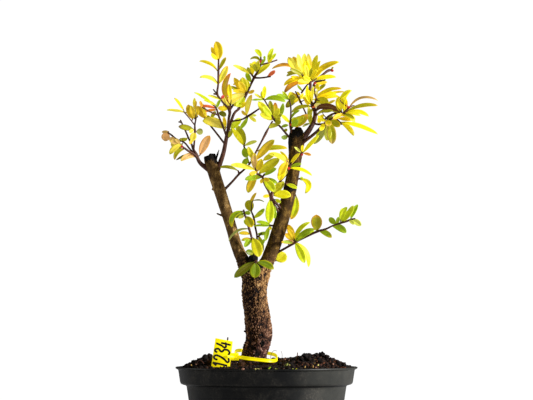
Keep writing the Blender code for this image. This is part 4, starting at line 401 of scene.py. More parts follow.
# Leaves and buds that crowd the shoots too closely for the frame's own solids, in the same terms
MORE_LEAVES: dict[str, tuple] = {
    "crown_leader": (
        (44, 431, 34, 447, 6, 0.6, -4, "YELLOW/GOLD"),
        (43.4, 431, 39.4, 450, 6, 0.4, -6, "BRIGHT_YELLOW/YELLOW"),
        (42, 430.6, 28, 441.4, 6, -0.6, -5, "OLIVE_YELLOW/GOLD"),
        (44.6, 432, 46.4, 447, 4, 0, 4, "GOLD"), (46, 430.6, 56.4, 441.6, 4.4, 0.8, -5, "YELLOW"),
        (42.4, 430.4, 24.4, 434, 4.4, 1.2, -4, "YELLOW/GOLD"),
        (44, 428.6, 31, 429, 3.6, -0.8, -6, "PALE_YELLOW"),
        (45, 429, 37, 434.4, 3.6, 0.4, -7, "BRIGHT_YELLOW"),
        (45, 430, 49.6, 441, 4.6, -0.6, -4, "OLIVE_YELLOW"),
        (44, 432, 31, 452, 5.4, 1, 4, "BRIGHT_YELLOW"), (50, 410, 70, 415.6, 5, 3, -3, "YELLOW"),
        (49.4, 412, 63, 417, 4.2, 1.6, 5, "OLIVE_YELLOW"),
        (49.6, 409, 62, 408.4, 6.2, 1, -6, "OLIVE_YELLOW/OLIVE"), (50, 424, 54, 431, 3, 0, 3, "OLIVE"),
        (48.6, 425, 52.6, 420, 3, 0.4, -4, "YELLOW"),
        (44.6, 409, 40.6, 421, 3.4, -0.8, -4, "YELLOW/GOLD"), (44, 406, 36, 413, 3, -0.8, 4, "GOLD"),
        (46.4, 410.6, 51.2, 413.8, 2.2, -1.2, -5, "PALE_YELLOW"),
        (46, 412, 46.6, 421.5, 2.6, 0.8, -5, "CREAM"), (46.5, 404.6, 54.6, 405.4, 3, 0.4, -6, "CREAM"),
        (32.6, 412, 27.4, 408, 2.6, 0, -3, "YELLOW"), (35, 414, 39.4, 411, 2, 0, 3, "YELLOW"),
        (34, 414.6, 30.6, 418.8, 1.8, 0, 3, "YELLOW"),
        (33, 411.6, 39.6, 415.4, 1.8, -0.4, 4, "BRIGHT_YELLOW"),
        (53, 386.6, 57.4, 395.8, 3, 1, -7, "YELLOW"), (44.6, 384, 42, 404, 4, 0.6, -4, "OLIVE"),
        (47.4, 427.8, 49, 426, 2.2, 0, -3, "RED"), (46.2, 405, 47.4, 402.6, 2.4, 0, -4, "RED_ORANGE"),
        (64.2, 440.2, 67.4, 439.8, 2.2, 0, -2, "RED"), (65, 441.2, 67, 443.8, 1.4, 0, -2, "OLIVE"),
        (46.6, 434, 54, 449.6, 3.4, 0.6, -4, "OLIVE_YELLOW"),
        (43.6, 427.8, 31, 426.2, 3, -0.6, -4, "GOLD"), (60, 405.8, 68.8, 410, 2.2, 0, -5, "KHAKI"),
        (38, 410, 43, 405.6, 2.6, 0, -4, "YELLOW"),
    ),
    "head_upright_twig": (
        (25, 385, 37, 393, 6.6, 0.4, -11, "OLIVE_YELLOW/OLIVE"),
        (24.6, 384, 31, 390.6, 4.8, -0.6, -12, "GREEN"),
        (24.4, 388, 29.6, 392.4, 3.2, 0.3, 4, "YELLOW_GREEN"), (22.8, 410, 28, 414.6, 5, 0, -4, "OLIVE"),
        (22.6, 409.6, 24.6, 418.4, 3.4, 0.3, 3, "OLIVE_YELLOW"),
        (23.2, 386.8, 24.8, 384.6, 1.8, 0, -2, "RED"),
    ),
    "right_spray": (
        (74.6, 400, 73.6, 413.6, 7, 0.8, -4, "YELLOW/OLIVE_YELLOW"),
        (62, 386.4, 60.2, 369.4, 6.6, 0.4, -3, "PALE_GREEN/OLIVE_YELLOW"),
        (70, 393.6, 88.6, 390.6, 3.2, 2.4, -4, "YELLOW/GOLD"),
        (74, 395, 88, 389.6, 3.2, 1.8, -6, "YELLOW"),
        (60, 389.4, 51.2, 394.8, 3, 1.8, -8, "BRIGHT_YELLOW/GOLD"),
        (58, 387, 53.4, 379.4, 4, 0, -6, "YELLOW"), (78.8, 396.6, 96, 396.2, 2.8, 1.4, -3, "YELLOW"),
        (80.4, 401, 82.8, 403.6, 2, 0, -2, "RED"), (80.4, 402, 80, 405.8, 1.4, 0, -2, "ORANGE"),
        (71, 391.6, 86.4, 390, 3.4, 0, -4, "GOLD/YELLOW"),
        (73, 410.4, 84, 419.6, 3.4, 1, -4, "BRIGHT_YELLOW"),
        (56, 397.6, 66, 399.4, 2.6, 0.4, -6, "OLIVE"),
    ),
    "head_left_twig": (
        (6.4, 393, -3.6, 404, 5.2, 0.6, -6, "YELLOW_GREEN"),
        (6.6, 392.4, 12.4, 402, 4.8, -0.4, -6, "OLIVE_YELLOW"),
        (6, 391.6, -6.6, 396.4, 4, 0.8, -5, "OLIVE_YELLOW"),
        (9, 389, 13.6, 393, 4.4, 0, -5, "OLIVE_YELLOW"),
    ),
    "left_main_shoot": (
        (-21.6, 418, -32.4, 432.6, 5, 0.8, -3, "GOLD/OCHRE"), (-21, 418.4, -28, 429, 5.6, 0, -5, "GOLD"),
        (-20.4, 419, -24.4, 433.4, 4.8, -0.5, -6, "OLIVE_YELLOW"),
        (-21, 417, -34, 419.6, 3.4, -0.8, -4, "GOLD"),
        (-21, 416.6, -34.6, 404.8, 6, 1, -6, "OLIVE_YELLOW/KHAKI"),
        (-17, 423, -21.4, 431, 4, 0, -5, "OLIVE_YELLOW"), (-40.6, 404, -44, 414.4, 3.4, 0, -4, "KHAKI"),
        (-38, 401.6, -36.4, 404.6, 3, 0, -4, "BROWN"), (-6.4, 447.6, -5.2, 450.6, 2, 0, -2, "RED"),
        (-5.8, 446, -1, 452.4, 2.2, 0, -3, "GREEN"), (-2, 451, -2, 455, 2, 0, -2, "GREEN"),
        (1, 448, 6, 452, 2, 0, -2, "YELLOW"), (-8, 441, -17, 447.4, 3.8, 0.6, -4, "OLIVE_YELLOW"),
        (-9.6, 438.4, -12.4, 446.6, 4, 0, -5, "OLIVE"),
        (-38.6, 401, -48.6, 402.4, 4.4, 0, -4, "YELLOW/ORANGE"),
        (-40.4, 383, -42.8, 394, 3, 0.2, -4, "GOLD"),
        (-35.4, 410, -37.4, 426.6, 4.4, 0.6, -4, "YELLOW/GOLD"),
        (-38, 372.6, -34.4, 380.6, 3.2, 0, -4, "OLIVE"),
        (-27.4, 402.6, -21, 408.6, 3.8, -0.6, -4, "YELLOW"),
        (-9.6, 440, -8.4, 450, 3.8, 0, -4, "OLIVE_YELLOW"),
        (-56, 392.6, -51, 399.4, 3.4, 0, -4, "OLIVE"),
        (-60, 392, -64.6, 407.4, 3.2, 0.4, -3, "YELLOW/ORANGE"),
    ),
    "left_outer_shoot": (
        (-86, 366, -96.6, 369.4, 4, 0, -3, "TAN/KHAKI"), (-84, 367, -92, 361, 4.4, 0.5, -4, "OLIVE/TAN"),
        (-72, 391.4, -75.6, 404.6, 5, 0, -5, "OCHRE/OLIVE_YELLOW"),
        (-85.4, 365, -83.8, 362.4, 1.6, 0, -2, "RED"), (-86, 366.4, -91, 371.4, 3, 0, -3, "TAN/KHAKI"),
        (-71.6, 392, -68.4, 402.4, 4, 0, -3, "GOLD"), (-98, 379, -105, 378.4, 2.4, 0, -2, "TAN"),
        (-72.8, 381, -77.2, 377.6, 3.2, 0, -3, "PALE_YELLOW"),
        (-73, 371, -77.4, 366.4, 2.6, 0, -3, "OCHRE"), (-80.4, 372, -86.4, 370.4, 2.6, 0, -3, "OLIVE"),
    ),
    "inner_shoot": (
        (-9.6, 339, -5, 351.4, 5.8, -0.6, -7, "GOLD/OLIVE_YELLOW"),
        (-9, 338.4, -17, 336.4, 3.2, 0, -4, "GOLD"),
        (-6, 336.6, 7, 347.6, 5.6, 1.2, -5, "OLIVE_YELLOW/GOLD"),
        (22.8, 343.8, 22.2, 340.6, 2, 0, -3, "RED"), (35.2, 357, 35.8, 354.4, 1.6, 0, -2, "RED"),
        (23, 345, 19.6, 351, 1.8, 0, -2, "TAN"), (8.6, 321, 14.6, 327.4, 4.4, 0.4, -5, "OLIVE_YELLOW"),
        (-3.4, 332, 3, 329.6, 3.4, 0, -4, "GOLD"), (-11, 349, -18.4, 363.6, 5, 0.6, -4, "OLIVE_YELLOW"),
        (-3.6, 349.6, 8, 356, 4.6, 0.4, -5, "OLIVE_YELLOW"),
        (20.6, 348.6, 13.4, 334.6, 7, -0.6, -5, "GOLD/YELLOW"),
        (-10.4, 345, -15.6, 352, 3.4, 0, -3, "OLIVE"),
    ),
    "fork_shoot": (
        (-9.6, 276, 2, 277.6, 3, 0, -3, "GREEN"), (-10, 262, -1.6, 271, 3.8, 0, -4, "GREEN"),
        (-12.4, 258, -20, 259.4, 4.6, 0.5, -3, "OLIVE"),
        (-12.6, 292, -3.6, 297.6, 3.4, 0.6, -3, "YELLOW_GREEN"),
        (-10, 270, -4.4, 262, 4, 0.4, -4, "OLIVE_YELLOW"), (-18, 284, -22.4, 290.6, 3, 0, -3, "GREEN"),
        (-13.7, 309.5, -2.2, 308.3, 0.8, 1.2, -2, "GREY_GREEN"),
        (-22, 298, -15.8, 297, 3.6, 0, -3, "GREEN"), (-21.8, 294.6, -28.4, 292.6, 2.8, 0, -3, "OLIVE"),
        (-14, 268, -22.4, 270.6, 3, 0, -3, "GREEN"),
    ),
    "right_lower_shoot": (
        (30, 271, 47.6, 279.4, 3.6, 1.4, -4, "YELLOW_GREEN"),
        (27.4, 271.6, 21, 282, 4, -0.6, -3, "GOLD/ORANGE"),
        (73.6, 289.6, 80.4, 303.4, 4.6, 1.2, -4, "YELLOW_GREEN/GREEN"),
        (20, 270, 27.6, 268.6, 2, 0, -2, "PEACH"), (26.6, 270.6, 18.6, 276.8, 4.6, 0, -3, "GOLD/ORANGE"),
        (82, 290.6, 88, 286, 3, 0, -3, "PALE_GREEN"),
    ),
}

# Bare twigs that cross between the solids' stems, as x, y, z and radius
MORE_TWIGS: dict[str, tuple] = {
    "right_spray": (
        ((48.4, -3, 399.6, 1.6), (54, -8, 402.4, 1.3), (60, -14, 401.6, 1.2), (66, -20, 399.4, 1.1),
         (72, -25, 397, 1.1)),
        ((49.4, -4, 394.6, 1), (55, -10, 399.4, 0.9), (60, -14, 401, 0.9)),
        ((58, -19.6, 390.6, 0.9), (63, -20, 394.6, 1), (68, -24, 396.6, 1), (73, -27, 397.2, 1)),
        ((60, -21, 388.6, 0.9), (56, -20, 391.6, 1.1)),
        ((79.6, -30, 399.6, 1), (84, -31, 403.4, 0.7), (87.6, -31, 404.4, 0.45)),
    ),
}

# Bits that lie on the soil's front edge: x, y, z and half length, the other half lengths as shares
# of it, and the tint
FRONT_BITS = (
    (-23.2, -88.8, 143.6, 1.5, (0.5, 0.7), "PINK_TAN"), (-11.2, -89, 143.4, 1.5, (0.6, 0.45), "CREAM"),
    (-8, -89, 143.4, 1.9, (0.5, 0.35), "CREAM"), (-5.6, -88.8, 143.5, 1.2, (0.6, 0.4), "PINK_TAN"),
    (17.6, -60, 152.6, 1.5, (0.7, 0.7), "PINK_TAN"), (22, -62, 151.6, 1.1, (0.7, 0.6), "PINK_TAN"),
    (19.6, -78, 147.4, 2.2, (0.5, 0.5), "GREY_GREEN"), (22.6, -76, 147.2, 1.1, (0.7, 0.6), "CREAM"),
    (26, -88.4, 143.8, 1.1, (0.5, 0.4), "GREY_GREEN"), (29.4, -88.2, 143.8, 0.9, (0.6, 0.5), "OLIVE"),
    (46, -76, 145.6, 1.8, (0.4, 0.5), "TAN"), (51, -74, 147, 1.4, (0.5, 0.6), "CREAM"),
    (48.6, -72, 144.6, 1.2, (0.6, 0.6), "PINK_TAN"), (38, -80, 145.4, 1.2, (0.6, 0.5), "TAN"),
    (2.6, -88.6, 144.2, 2, (0.4, 0.4), "GREEN"), (3.4, -88.6, 145.2, 1.2, (0.4, 0.5), "GREEN"),
    (8.6, -88.6, 143.6, 2.3, (0.4, 0.35), "GREY_GREEN"), (10.4, -88.4, 143.4, 1.1, (0.5, 0.4), "OLIVE"),
    (-70, -55, 147.4, 1.2, (0.7, 0.6), "PINK_TAN"), (-74.6, -48, 146.4, 1, (0.7, 0.6), "TAN"),
    (66, -56, 147.6, 1.3, (0.7, 0.6), "PINK_TAN"),
)

# Tops of the soil's mounds: x, y, z and half length
MOUND_CLODS = (
    (-61, -26, 153.4, 4), (-57, -24, 154.6, 3.2), (-66.5, -28, 150.6, 3.4), (-72, -30, 148.8, 3.2),
    (-76, -36, 145.8, 2.6), (38, -14, 154.6, 3.2), (34, -20, 152.6, 2.6), (43, -8, 152.4, 3),
    (50, -6, 155.2, 3.4), (55.5, -4, 155.8, 3.4), (60.5, -8, 153.8, 2.8), (64.5, -12, 150.8, 3),
    (71, -16, 149, 2.6), (77, -20, 146.4, 2.4), (22, -10, 149.4, 2.4), (28, -10, 150, 2.2),
    (13, -40, 147.4, 2.2),
)

# Sticks and root fibres in the soil: radius and route
FIBRES = (
    (0.75, ((-40.6, -39.6, 148), (-39.6, -39.8, 162), (-38.4, -40, 173.8))),
    (0.45, ((29.4, -20, 150), (30.6, -20, 155), (31, -20, 158.2))),
    (0.22, ((4, -30, 150), (5, -31, 157.6), (8, -32, 160.6), (10.4, -32, 160))),
    (0.2, ((14, -36, 149), (15.6, -36, 156), (14.6, -36, 160.2))),
    (0.35, ((-2, -52, 143), (2.4, -58, 146), (7, -60, 143))),
    (0.4, ((46, -66, 146), (50, -70, 148.6), (55, -70, 146))),
    (0.35, ((-70, -40, 147), (-66, -44, 151), (-62, -46, 148))),
    (0.45, ((62, -30, 149), (66, -34, 153), (69, -36, 150))),
)

# Marker numbers 1 to 4: middle in x and foot in z on the plate, width and height of the number,
# and its strokes with the number lying on its side, as shares of the width and the height
WRITTEN = (
    (-46.2, 145.4, 2.8, 14.4, (((0.0, 0.74), (0.75, 1.0)), ((0.75, 1.0), (0.72, 0.5), (0.62, 0.0)))),
    (-45.0, 150.6, 4.9, 14.6, (
        ((0.05, 0.75), (0.30, 0.98), (0.80, 0.92), (0.85, 0.62), (0.40, 0.28), (0.0, 0.03), (0.95, 0.0)),
    )),
    (-43.8, 157.5, 4.9, 14.6, (
        ((0.05, 0.86), (0.45, 1.0), (0.86, 0.80), (0.42, 0.55), (0.95, 0.34), (0.62, 0.02), (0.0, 0.10)),
    )),
    (-42.7, 164.4, 4.9, 14.4, (
        ((0.46, 1.0), (0.22, 0.66), (0.0, 0.36), (0.5, 0.33), (1.0, 0.36)),
        ((0.72, 0.66), (0.70, 0.36), (0.66, 0.0)),
    )),
)


class Tint(Enum):
    """Colours of leaves and crumbs, as red, green and blue from 0 to 255."""

    OLIVE = (152, 150, 6)
    DARK_OLIVE = (106, 106, 4)
    OLIVE_YELLOW = (198, 190, 14)
    KHAKI = (210, 190, 56)
    GREEN = (142, 168, 10)
    DARK_GREEN = (106, 128, 4)
    GREY_GREEN = (146, 150, 72)
    PALE_GREEN = (208, 214, 84)
    YELLOW_GREEN = (194, 204, 14)
    YELLOW = (232, 210, 6)
    BRIGHT_YELLOW = (242, 230, 12)
    PALE_YELLOW = (242, 228, 66)
    CREAM = (248, 234, 130)
    GOLD = (220, 188, 14)
    OCHRE = (202, 168, 22)
    ORANGE = (230, 160, 44)
    RED_ORANGE = (224, 104, 60)
    RED = (196, 40, 44)
    PEACH = (232, 176, 112)
    TAN = (192, 154, 84)
    BROWN = (92, 52, 22)
    PEAT = (30, 17, 11)
    DARK_PEAT = (16, 10, 8)
    BARK_CHIP = (92, 50, 30)
    HUMUS = (58, 34, 20)
    PINK_TAN = (158, 114, 92)

    def linear(self) -> Colour:
        """Return the colour as linear light with full alpha."""
        return linear(*self.value)


def linear(red: int, green: int, blue: int) -> Colour:
    """Turn a screen's colour, each part from 0 to 255, into linear light with full alpha."""
    shares = [value / 255.0 for value in (red, green, blue)]
    parts = [s / 12.92 if s <= 0.04045 else ((s + 0.055) / 1.055) ** 2.4 for s in shares]
    return (parts[0], parts[1], parts[2], 1.0)


def clear_selection() -> None:
    """Deselect everything, the frame's own nodes too."""
    for obj in list(bpy.context.selected_objects):
        obj.select_set(False)


def use(obj: bpy.types.Object) -> None:
    """Make obj the only selected and active object."""
    clear_selection()
    obj.select_set(True)
    bpy.context.view_layer.objects.active = obj


def settle(obj: bpy.types.Object) -> None:
    """Put the object's place into its mesh, so that it sits at the origin."""
    bpy.context.view_layer.update()
    obj.data.transform(obj.matrix_world)
    obj.matrix_world = Matrix.Identity(4)


def apply_modifier(obj: bpy.types.Object, kind: str, **settings: object) -> None:
    """Add a modifier of the given kind and settings to obj, and apply it."""
    use(obj)
    modifier = obj.modifiers.new(kind.title(), kind)
    for name, value in settings.items():
        setattr(modifier, name, value)
    bpy.ops.object.modifier_apply(modifier=modifier.name)


def cut(obj: bpy.types.Object, tool: bpy.types.Object) -> None:
    """Cut the tool's shape out of obj and remove the tool."""
    apply_modifier(obj, "BOOLEAN", object=tool, operation="DIFFERENCE", solver="EXACT")
    bpy.data.objects.remove(tool, do_unlink=True)


def edit_all(obj: bpy.types.Object, operator: Callable, **settings: object) -> None:
    """Run a mesh operator on the whole of obj in edit mode."""
    use(obj)
    bpy.ops.object.mode_set(mode="EDIT")
    bpy.ops.mesh.select_all(action="SELECT")
    operator(**settings)
    bpy.ops.object.mode_set(mode="OBJECT")


def choose(obj: bpy.types.Object, parts: str, test: Callable) -> None:
    """Select in edit mode the parts of obj, its "verts" or "faces", that pass the test."""
    bm = bmesh.from_edit_mesh(obj.data)
    for part in getattr(bm, parts):
        part.select_set(bool(test(part)))
    bm.select_flush_mode()
    bmesh.update_edit_mesh(obj.data)


def join(main_part: bpy.types.Object, others: list[bpy.types.Object]) -> bpy.types.Object:
    """Join other mesh objects into the main one and return it."""
    use(main_part)
    for other in others:
        other.select_set(True)
    bpy.ops.object.join()
    return main_part


def new_object(name: str, data: bpy.types.ID) -> bpy.types.Object:
    """Return a new object of the given data, linked to the scene."""
    obj = bpy.data.objects.new(name, data)
    bpy.context.scene.collection.objects.link(obj)
    return obj


def mesh_object(name: str, verts: np.ndarray | list, faces: list[tuple]) -> bpy.types.Object:
    """Return a new mesh object from points and faces."""
    mesh = bpy.data.meshes.new(name)
    mesh.from_pydata(verts, [], faces)
    mesh.update()
    return new_object(name, mesh)


def copy_of_node(node: str, name: str) -> bpy.types.Object:
    """Return a merged copy of a CAD node, whose own mesh stays as it is."""
    obj = new_object(name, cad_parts[node].data.copy())
    obj.data.name = name
    obj.data.materials.clear()
    edit_all(obj, bpy.ops.mesh.remove_doubles, threshold=0.000005)
    return obj


def tubes(
    name: str, routes: list[list[tuple[Vector, float]]], steps: int, roundness: int
) -> bpy.types.Object:
    """Return smooth round tubes as one mesh object.

    Args:
        name: the object's name.
        routes: the points of each tube with the radius there, in millimetres.
        steps: the sections from one point to the next.
        roundness: how finely a section is rounded.

    Returns:
        The tubes, closed at their ends.
    """
    curve = bpy.data.curves.new(name, "CURVE")
    curve.dimensions = "3D"
    curve.bevel_depth = MM
    curve.bevel_resolution = roundness
    curve.resolution_u = steps
    curve.use_fill_caps = True
    for route in routes:
        spline = curve.splines.new("BEZIER")
        spline.bezier_points.add(len(route) - 1)
        for point, (place, radius) in zip(spline.bezier_points, route):
            point.co = place * MM
            point.radius = radius
            point.handle_left_type = "AUTO"
            point.handle_right_type = "AUTO"
    use(new_object(name, curve))
    bpy.ops.object.convert(target="MESH")
    return bpy.context.object


def points_of(obj: bpy.types.Object) -> np.ndarray:
    """Return the points of the object's mesh, one row each."""
    places = np.zeros(len(obj.data.vertices) * 3, np.float32)
    obj.data.vertices.foreach_get("co", places)
    return places.reshape(-1, 3)


def move_points(obj: bpy.types.Object, places: np.ndarray) -> None:
    """Move the points of the object's mesh to new places, one row each."""
    obj.data.vertices.foreach_set("co", places.ravel())
    obj.data.update()


def shape_of(obj: bpy.types.Object) -> tuple[np.ndarray, list[tuple]]:
    """Return the object's points and faces."""
    return points_of(obj).astype(float), [tuple(face.vertices) for face in obj.data.polygons]


def paint(obj: bpy.types.Object, name: str, colours: np.ndarray) -> None:
    """Store one colour for each point of obj under the given name."""
    layer = obj.data.attributes.new(name, "FLOAT_COLOR", "POINT")
    layer.data.foreach_set("color", np.asarray(colours, np.float32).ravel())


def mark(obj: bpy.types.Object, name: str, values: np.ndarray) -> None:
    """Store one number for each point of obj under the given name."""
    layer = obj.data.attributes.new(name, "FLOAT", "POINT")
    layer.data.foreach_set("value", np.asarray(values, np.float32))


def dress(obj: bpy.types.Object, material: bpy.types.Material, sharp_from: float = 0.0) -> None:
    """Give obj its only material and smooth shading.

    Args:
        obj: the object to dress.
        material: its material.
        sharp_from: the angle in degrees from which edges stay sharp, or 0 for none.
    """
    obj.data.materials.clear()
    obj.data.materials.append(material)
    if sharp_from:
        use(obj)
        bpy.ops.object.shade_smooth_by_angle(angle=math.radians(sharp_from))
    else:
        obj.data.shade_smooth()


def hand_over(obj: bpy.types.Object, slot: str, *nodes: str) -> None:
    """Report a finished piece, and let it ride on the frame.

    Args:
        obj: the piece, already in place.
        slot: not used.
        nodes: the CAD nodes that it stands for.
    """
    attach(obj, "root")
    if nodes:
        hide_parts(*nodes)
    LOG.info("%s: %d faces", obj.name, len(obj.data.polygons))


def smoothstep(value: float, low: float, high: float) -> float:
    """Return 0 below low, 1 above high and a smooth rise between them."""
    share = min(max((value - low) / (high - low), 0.0), 1.0)
    return share * share * (3.0 - 2.0 * share)


def wave(point: Vector, across: float, upwards: float) -> float:
    """Return soft noise from 0 to 1, at one scale across and another upwards."""
    return 0.5 + 0.5 * noise.noise(Vector((point.x * across, point.y * across, point.z * upwards)))


class Graph:
    """Builds one shader tree, a material's or a group's, from short calls."""

    def __init__(self, tree: bpy.types.NodeTree) -> None:
        """Keep the tree to build in."""
        self.tree = tree

    def feed(self, socket: Socket, value: Value) -> None:
        """Link or set one input socket."""
        if isinstance(value, Socket):
            self.tree.links.new(value, socket)
        else:
            socket.default_value = value

    def node(self, kind: str, values: dict | None = None, **settings: object) -> bpy.types.Node:
        """Add a node.

        Args:
            kind: the node's type.
            values: its inputs by name or index, each a socket to link or a plain value.
            settings: its own attributes.

        Returns:
            The new node.
        """
        made = self.tree.nodes.new(kind)
        for name, value in settings.items():
            setattr(made, name, value)
        for name, value in (values or {}).items():
            self.feed(made.inputs[name], value)
        return made

    def place(self) -> Socket:
        """Return the object coordinates."""
        return self.node("ShaderNodeTexCoord").outputs["Object"]

    def axis(self, place: Value, index: int) -> Socket:
        """Return one part of a place: 0 for x, 1 for y or 2 for z."""
        return self.node("ShaderNodeSeparateXYZ", {0: place}).outputs[index]

    def attribute(self, name: str, output: str = "Color") -> Socket:
        """Return a named attribute of the mesh."""
        return self.node("ShaderNodeAttribute", attribute_name=name).outputs[output]

    def math(self, operation: str, *values: Value) -> Socket:
        """Return the result of a Math node on up to three values."""
        return self.node("ShaderNodeMath", dict(enumerate(values)), operation=operation).outputs[0]

    def times(self, first: Value, second: Value) -> Socket:
        """Return the product of two values."""
        return self.math("MULTIPLY", first, second)

    def steps(self, value: Value, low: float, high: float, most: float = 1.0) -> Socket:
        """Return a smooth rise from 0 at low to most at high, or a fall where low is above high."""
        values = {"Value": value, "From Min": low, "From Max": high, "To Max": most}
        return self.node("ShaderNodeMapRange", values, interpolation_type="SMOOTHSTEP").outputs[0]

    def mix(self, share: Value, first: Value, second: Value) -> Socket:
        """Return two colours mixed by share."""
        values = {0: share, 6: first, 7: second}
        return self.node("ShaderNodeMix", values, data_type="RGBA").outputs[2]

    def noise(self, place: Value, scale: Value, detail: float = 3.0, rough: float = 0.55) -> Socket:
        """Return soft noise from 0 to 1."""
        values = {"Vector": place, "Scale": scale, "Detail": detail, "Roughness": rough}
        return self.node("ShaderNodeTexNoise", values).outputs["Fac"]

    def stretch(self, place: Value, upwards: float) -> Socket:
        """Return coordinates scaled upwards only."""
        return self.node("ShaderNodeMapping", {"Vector": place, "Scale": (1.0, 1.0, upwards)}).outputs[0]

    def bump(self, height: Value, distance: float) -> Socket:
        """Return a normal raised by height."""
        return self.node("ShaderNodeBump", {"Height": height, "Distance": distance}).outputs[0]

    def group(self, tree: bpy.types.NodeTree, values: dict) -> Socket:
        """Place a shared group and return its first output."""
        made = self.tree.nodes.new("ShaderNodeGroup")
        made.node_tree = tree
        for name, value in values.items():
            self.feed(made.inputs[name], value)
        return made.outputs[0]


class SharedGroups:
    """Effects that several finishes use, each built once as a node group."""

    def __init__(self) -> None:
        """Build the groups."""
        self.mottle = self.make_mottle()
        self.dust = self.make_dust()
        self.grain = self.make_grain()

    @staticmethod
    def start(
        name: str, inputs: dict[str, float], output: str, kind: str = "NodeSocketFloat"
    ) -> tuple[Graph, bpy.types.Node, Socket]:
        """Start a group.

        Args:
            name: the group's name.
            inputs: its number inputs with their usual values.
            output: the name of its one output.
            kind: the output's socket type.

        Returns:
            A graph in the group's tree, its input node and the socket that takes its result.
        """
        tree = bpy.data.node_groups.new(name, "ShaderNodeTree")
        for key, value in inputs.items():
            socket = tree.interface.new_socket(key, in_out="INPUT", socket_type="NodeSocketFloat")
            socket.default_value = value
        tree.interface.new_socket(output, in_out="OUTPUT", socket_type=kind)
        graph = Graph(tree)
        return graph, graph.node("NodeGroupInput"), graph.node("NodeGroupOutput").inputs[0]

    def make_mottle(self) -> bpy.types.NodeTree:
        """Return a group that varies a colour's brightness softly over the surface."""
        inputs = {"Scale": 300.0, "Amount": 0.2}
        graph, given, result = self.start("mottle", inputs, "Colour", "NodeSocketColor")
        graph.tree.interface.new_socket("Colour", in_out="INPUT", socket_type="NodeSocketColor")
        soft = graph.noise(graph.place(), given.outputs["Scale"], 4.0)
        swing = graph.math("MULTIPLY_ADD", soft, 2.0, -1.0)
        factor = graph.math("MULTIPLY_ADD", swing, given.outputs["Amount"], 1.0)
        values = {0: given.outputs["Colour"], "Scale": factor}
        graph.feed(result, graph.node("ShaderNodeVectorMath", values, operation="SCALE").outputs[0])
        return graph.tree

    def make_dust(self) -> bpy.types.NodeTree:
        """Return a group that masks scattered dust: soft clouds with fine specks in them."""
        graph, given, result = self.start("dust", {"Scale": 60.0, "Amount": 0.5}, "Mask")
        place = graph.place()
        cloud = graph.steps(graph.noise(place, given.outputs["Scale"], 6.0, 0.7), 0.42, 0.72)
        fine = graph.times(given.outputs["Scale"], 14.0)
        specks = graph.steps(graph.noise(place, fine, 2.0), 0.45, 0.75)
        both = graph.math("MULTIPLY_ADD", cloud, specks, graph.times(cloud, 0.35))
        graph.feed(result, graph.times(both, given.outputs["Amount"]))
        return graph.tree

    def make_grain(self) -> bpy.types.NodeTree:
        """Return a group that masks wood grain: streaks that run up and down."""
        graph, given, result = self.start("grain", {"Scale": 500.0}, "Mask")
        streaks = graph.noise(graph.stretch(graph.place(), 0.16), given.outputs["Scale"], 4.0)
        graph.feed(result, graph.steps(streaks, 0.35, 0.66))
        return graph.tree

    def mottled(self, graph: Graph, colour: Value, scale: float, amount: float) -> Socket:
        """Return a colour that varies in brightness, in the given graph."""
        return graph.group(self.mottle, {"Colour": colour, "Scale": scale, "Amount": amount})


@dataclass(frozen=True)
class Finish:
    """What every finish has: a name, its shine and its painted glow, light that it gives off by itself
    though it is no lamp.
    """

    name: str
    roughness: float
    specular: float = 0.5
    painted_glow: float = 0.0

    def make(self, groups: SharedGroups) -> bpy.types.Material:
        """Return the finish as a material."""
        material = bpy.data.materials.new(self.name)
        material.use_nodes = True
        graph = Graph(material.node_tree)
        inputs = {"Roughness": self.roughness, "Specular IOR Level": self.specular}
        inputs.update(self.look(graph, groups))
        # Painted glow: the base colour is also given off as light, standing in for light shining through or
        # falling on the surface.
        if self.painted_glow:
            inputs.update({"Emission Color": inputs["Base Color"], "Emission Strength": self.painted_glow})
        shader = material.node_tree.nodes["Principled BSDF"]
        for name, value in inputs.items():
            graph.feed(shader.inputs[name], value)
        return material

    def look(self, graph: Graph, groups: SharedGroups) -> dict[str, Value]:
        """Return the shader's inputs that this finish sets, its colour first."""
        raise NotImplementedError


@dataclass(frozen=True)
class LeafFinish(Finish):
    """A thin glossy leaf with a painted glow in place of the light that shines through it, a pale rib, side
    veins and a tinted rim.
    """

    specular: float = 0.3
    painted_glow: float = 0.43
    veins: float = 8.0
    vein_slant: float = 1.7

    def look(self, graph: Graph, groups: SharedGroups) -> dict[str, Value]:
        """Read each leaf's tint, rim tint and blade coordinates, and draw its rim, rib and veins."""
        blade = graph.node("ShaderNodeUVMap", uv_map="UVMap").outputs[0]
        side = graph.math("ABSOLUTE", graph.math("MULTIPLY_ADD", graph.axis(blade, 0), 2.0, -1.0))
        along = graph.axis(blade, 1)
        rim = graph.math("MAXIMUM", graph.steps(side, 0.60, 1.0, 0.65), graph.steps(along, 0.70, 1.0, 0.8))
        colour = graph.mix(rim, graph.attribute("tint"), graph.attribute("rim_tint"))
        slanted = graph.math("SUBTRACT", graph.times(along, self.veins), graph.times(side, self.vein_slant))
        off_vein = graph.math("ABSOLUTE", graph.math("SUBTRACT", graph.math("FRACT", slanted), 0.5))
        vein = graph.times(graph.steps(off_vein, 0.13, 0.02), graph.steps(side, 0.95, 0.55, 0.35))
        lines = graph.math("MAXIMUM", vein, graph.steps(side, 0.14, 0.04, 0.55))
        pale = graph.mix(0.4, colour, Tint.CREAM.linear())
        colour = graph.mix(graph.times(lines, 0.45), colour, pale)
        # Partly the blade's own uneven colour and partly painted light and shade: patches of each blade are
        # made lighter and darker.
        colour = groups.mottled(graph, colour, 110.0, 0.50)
        colour = groups.mottled(graph, colour, 420.0, 0.22)
        return {"Base Color": colour, "Normal": graph.bump(lines, 0.00008)}


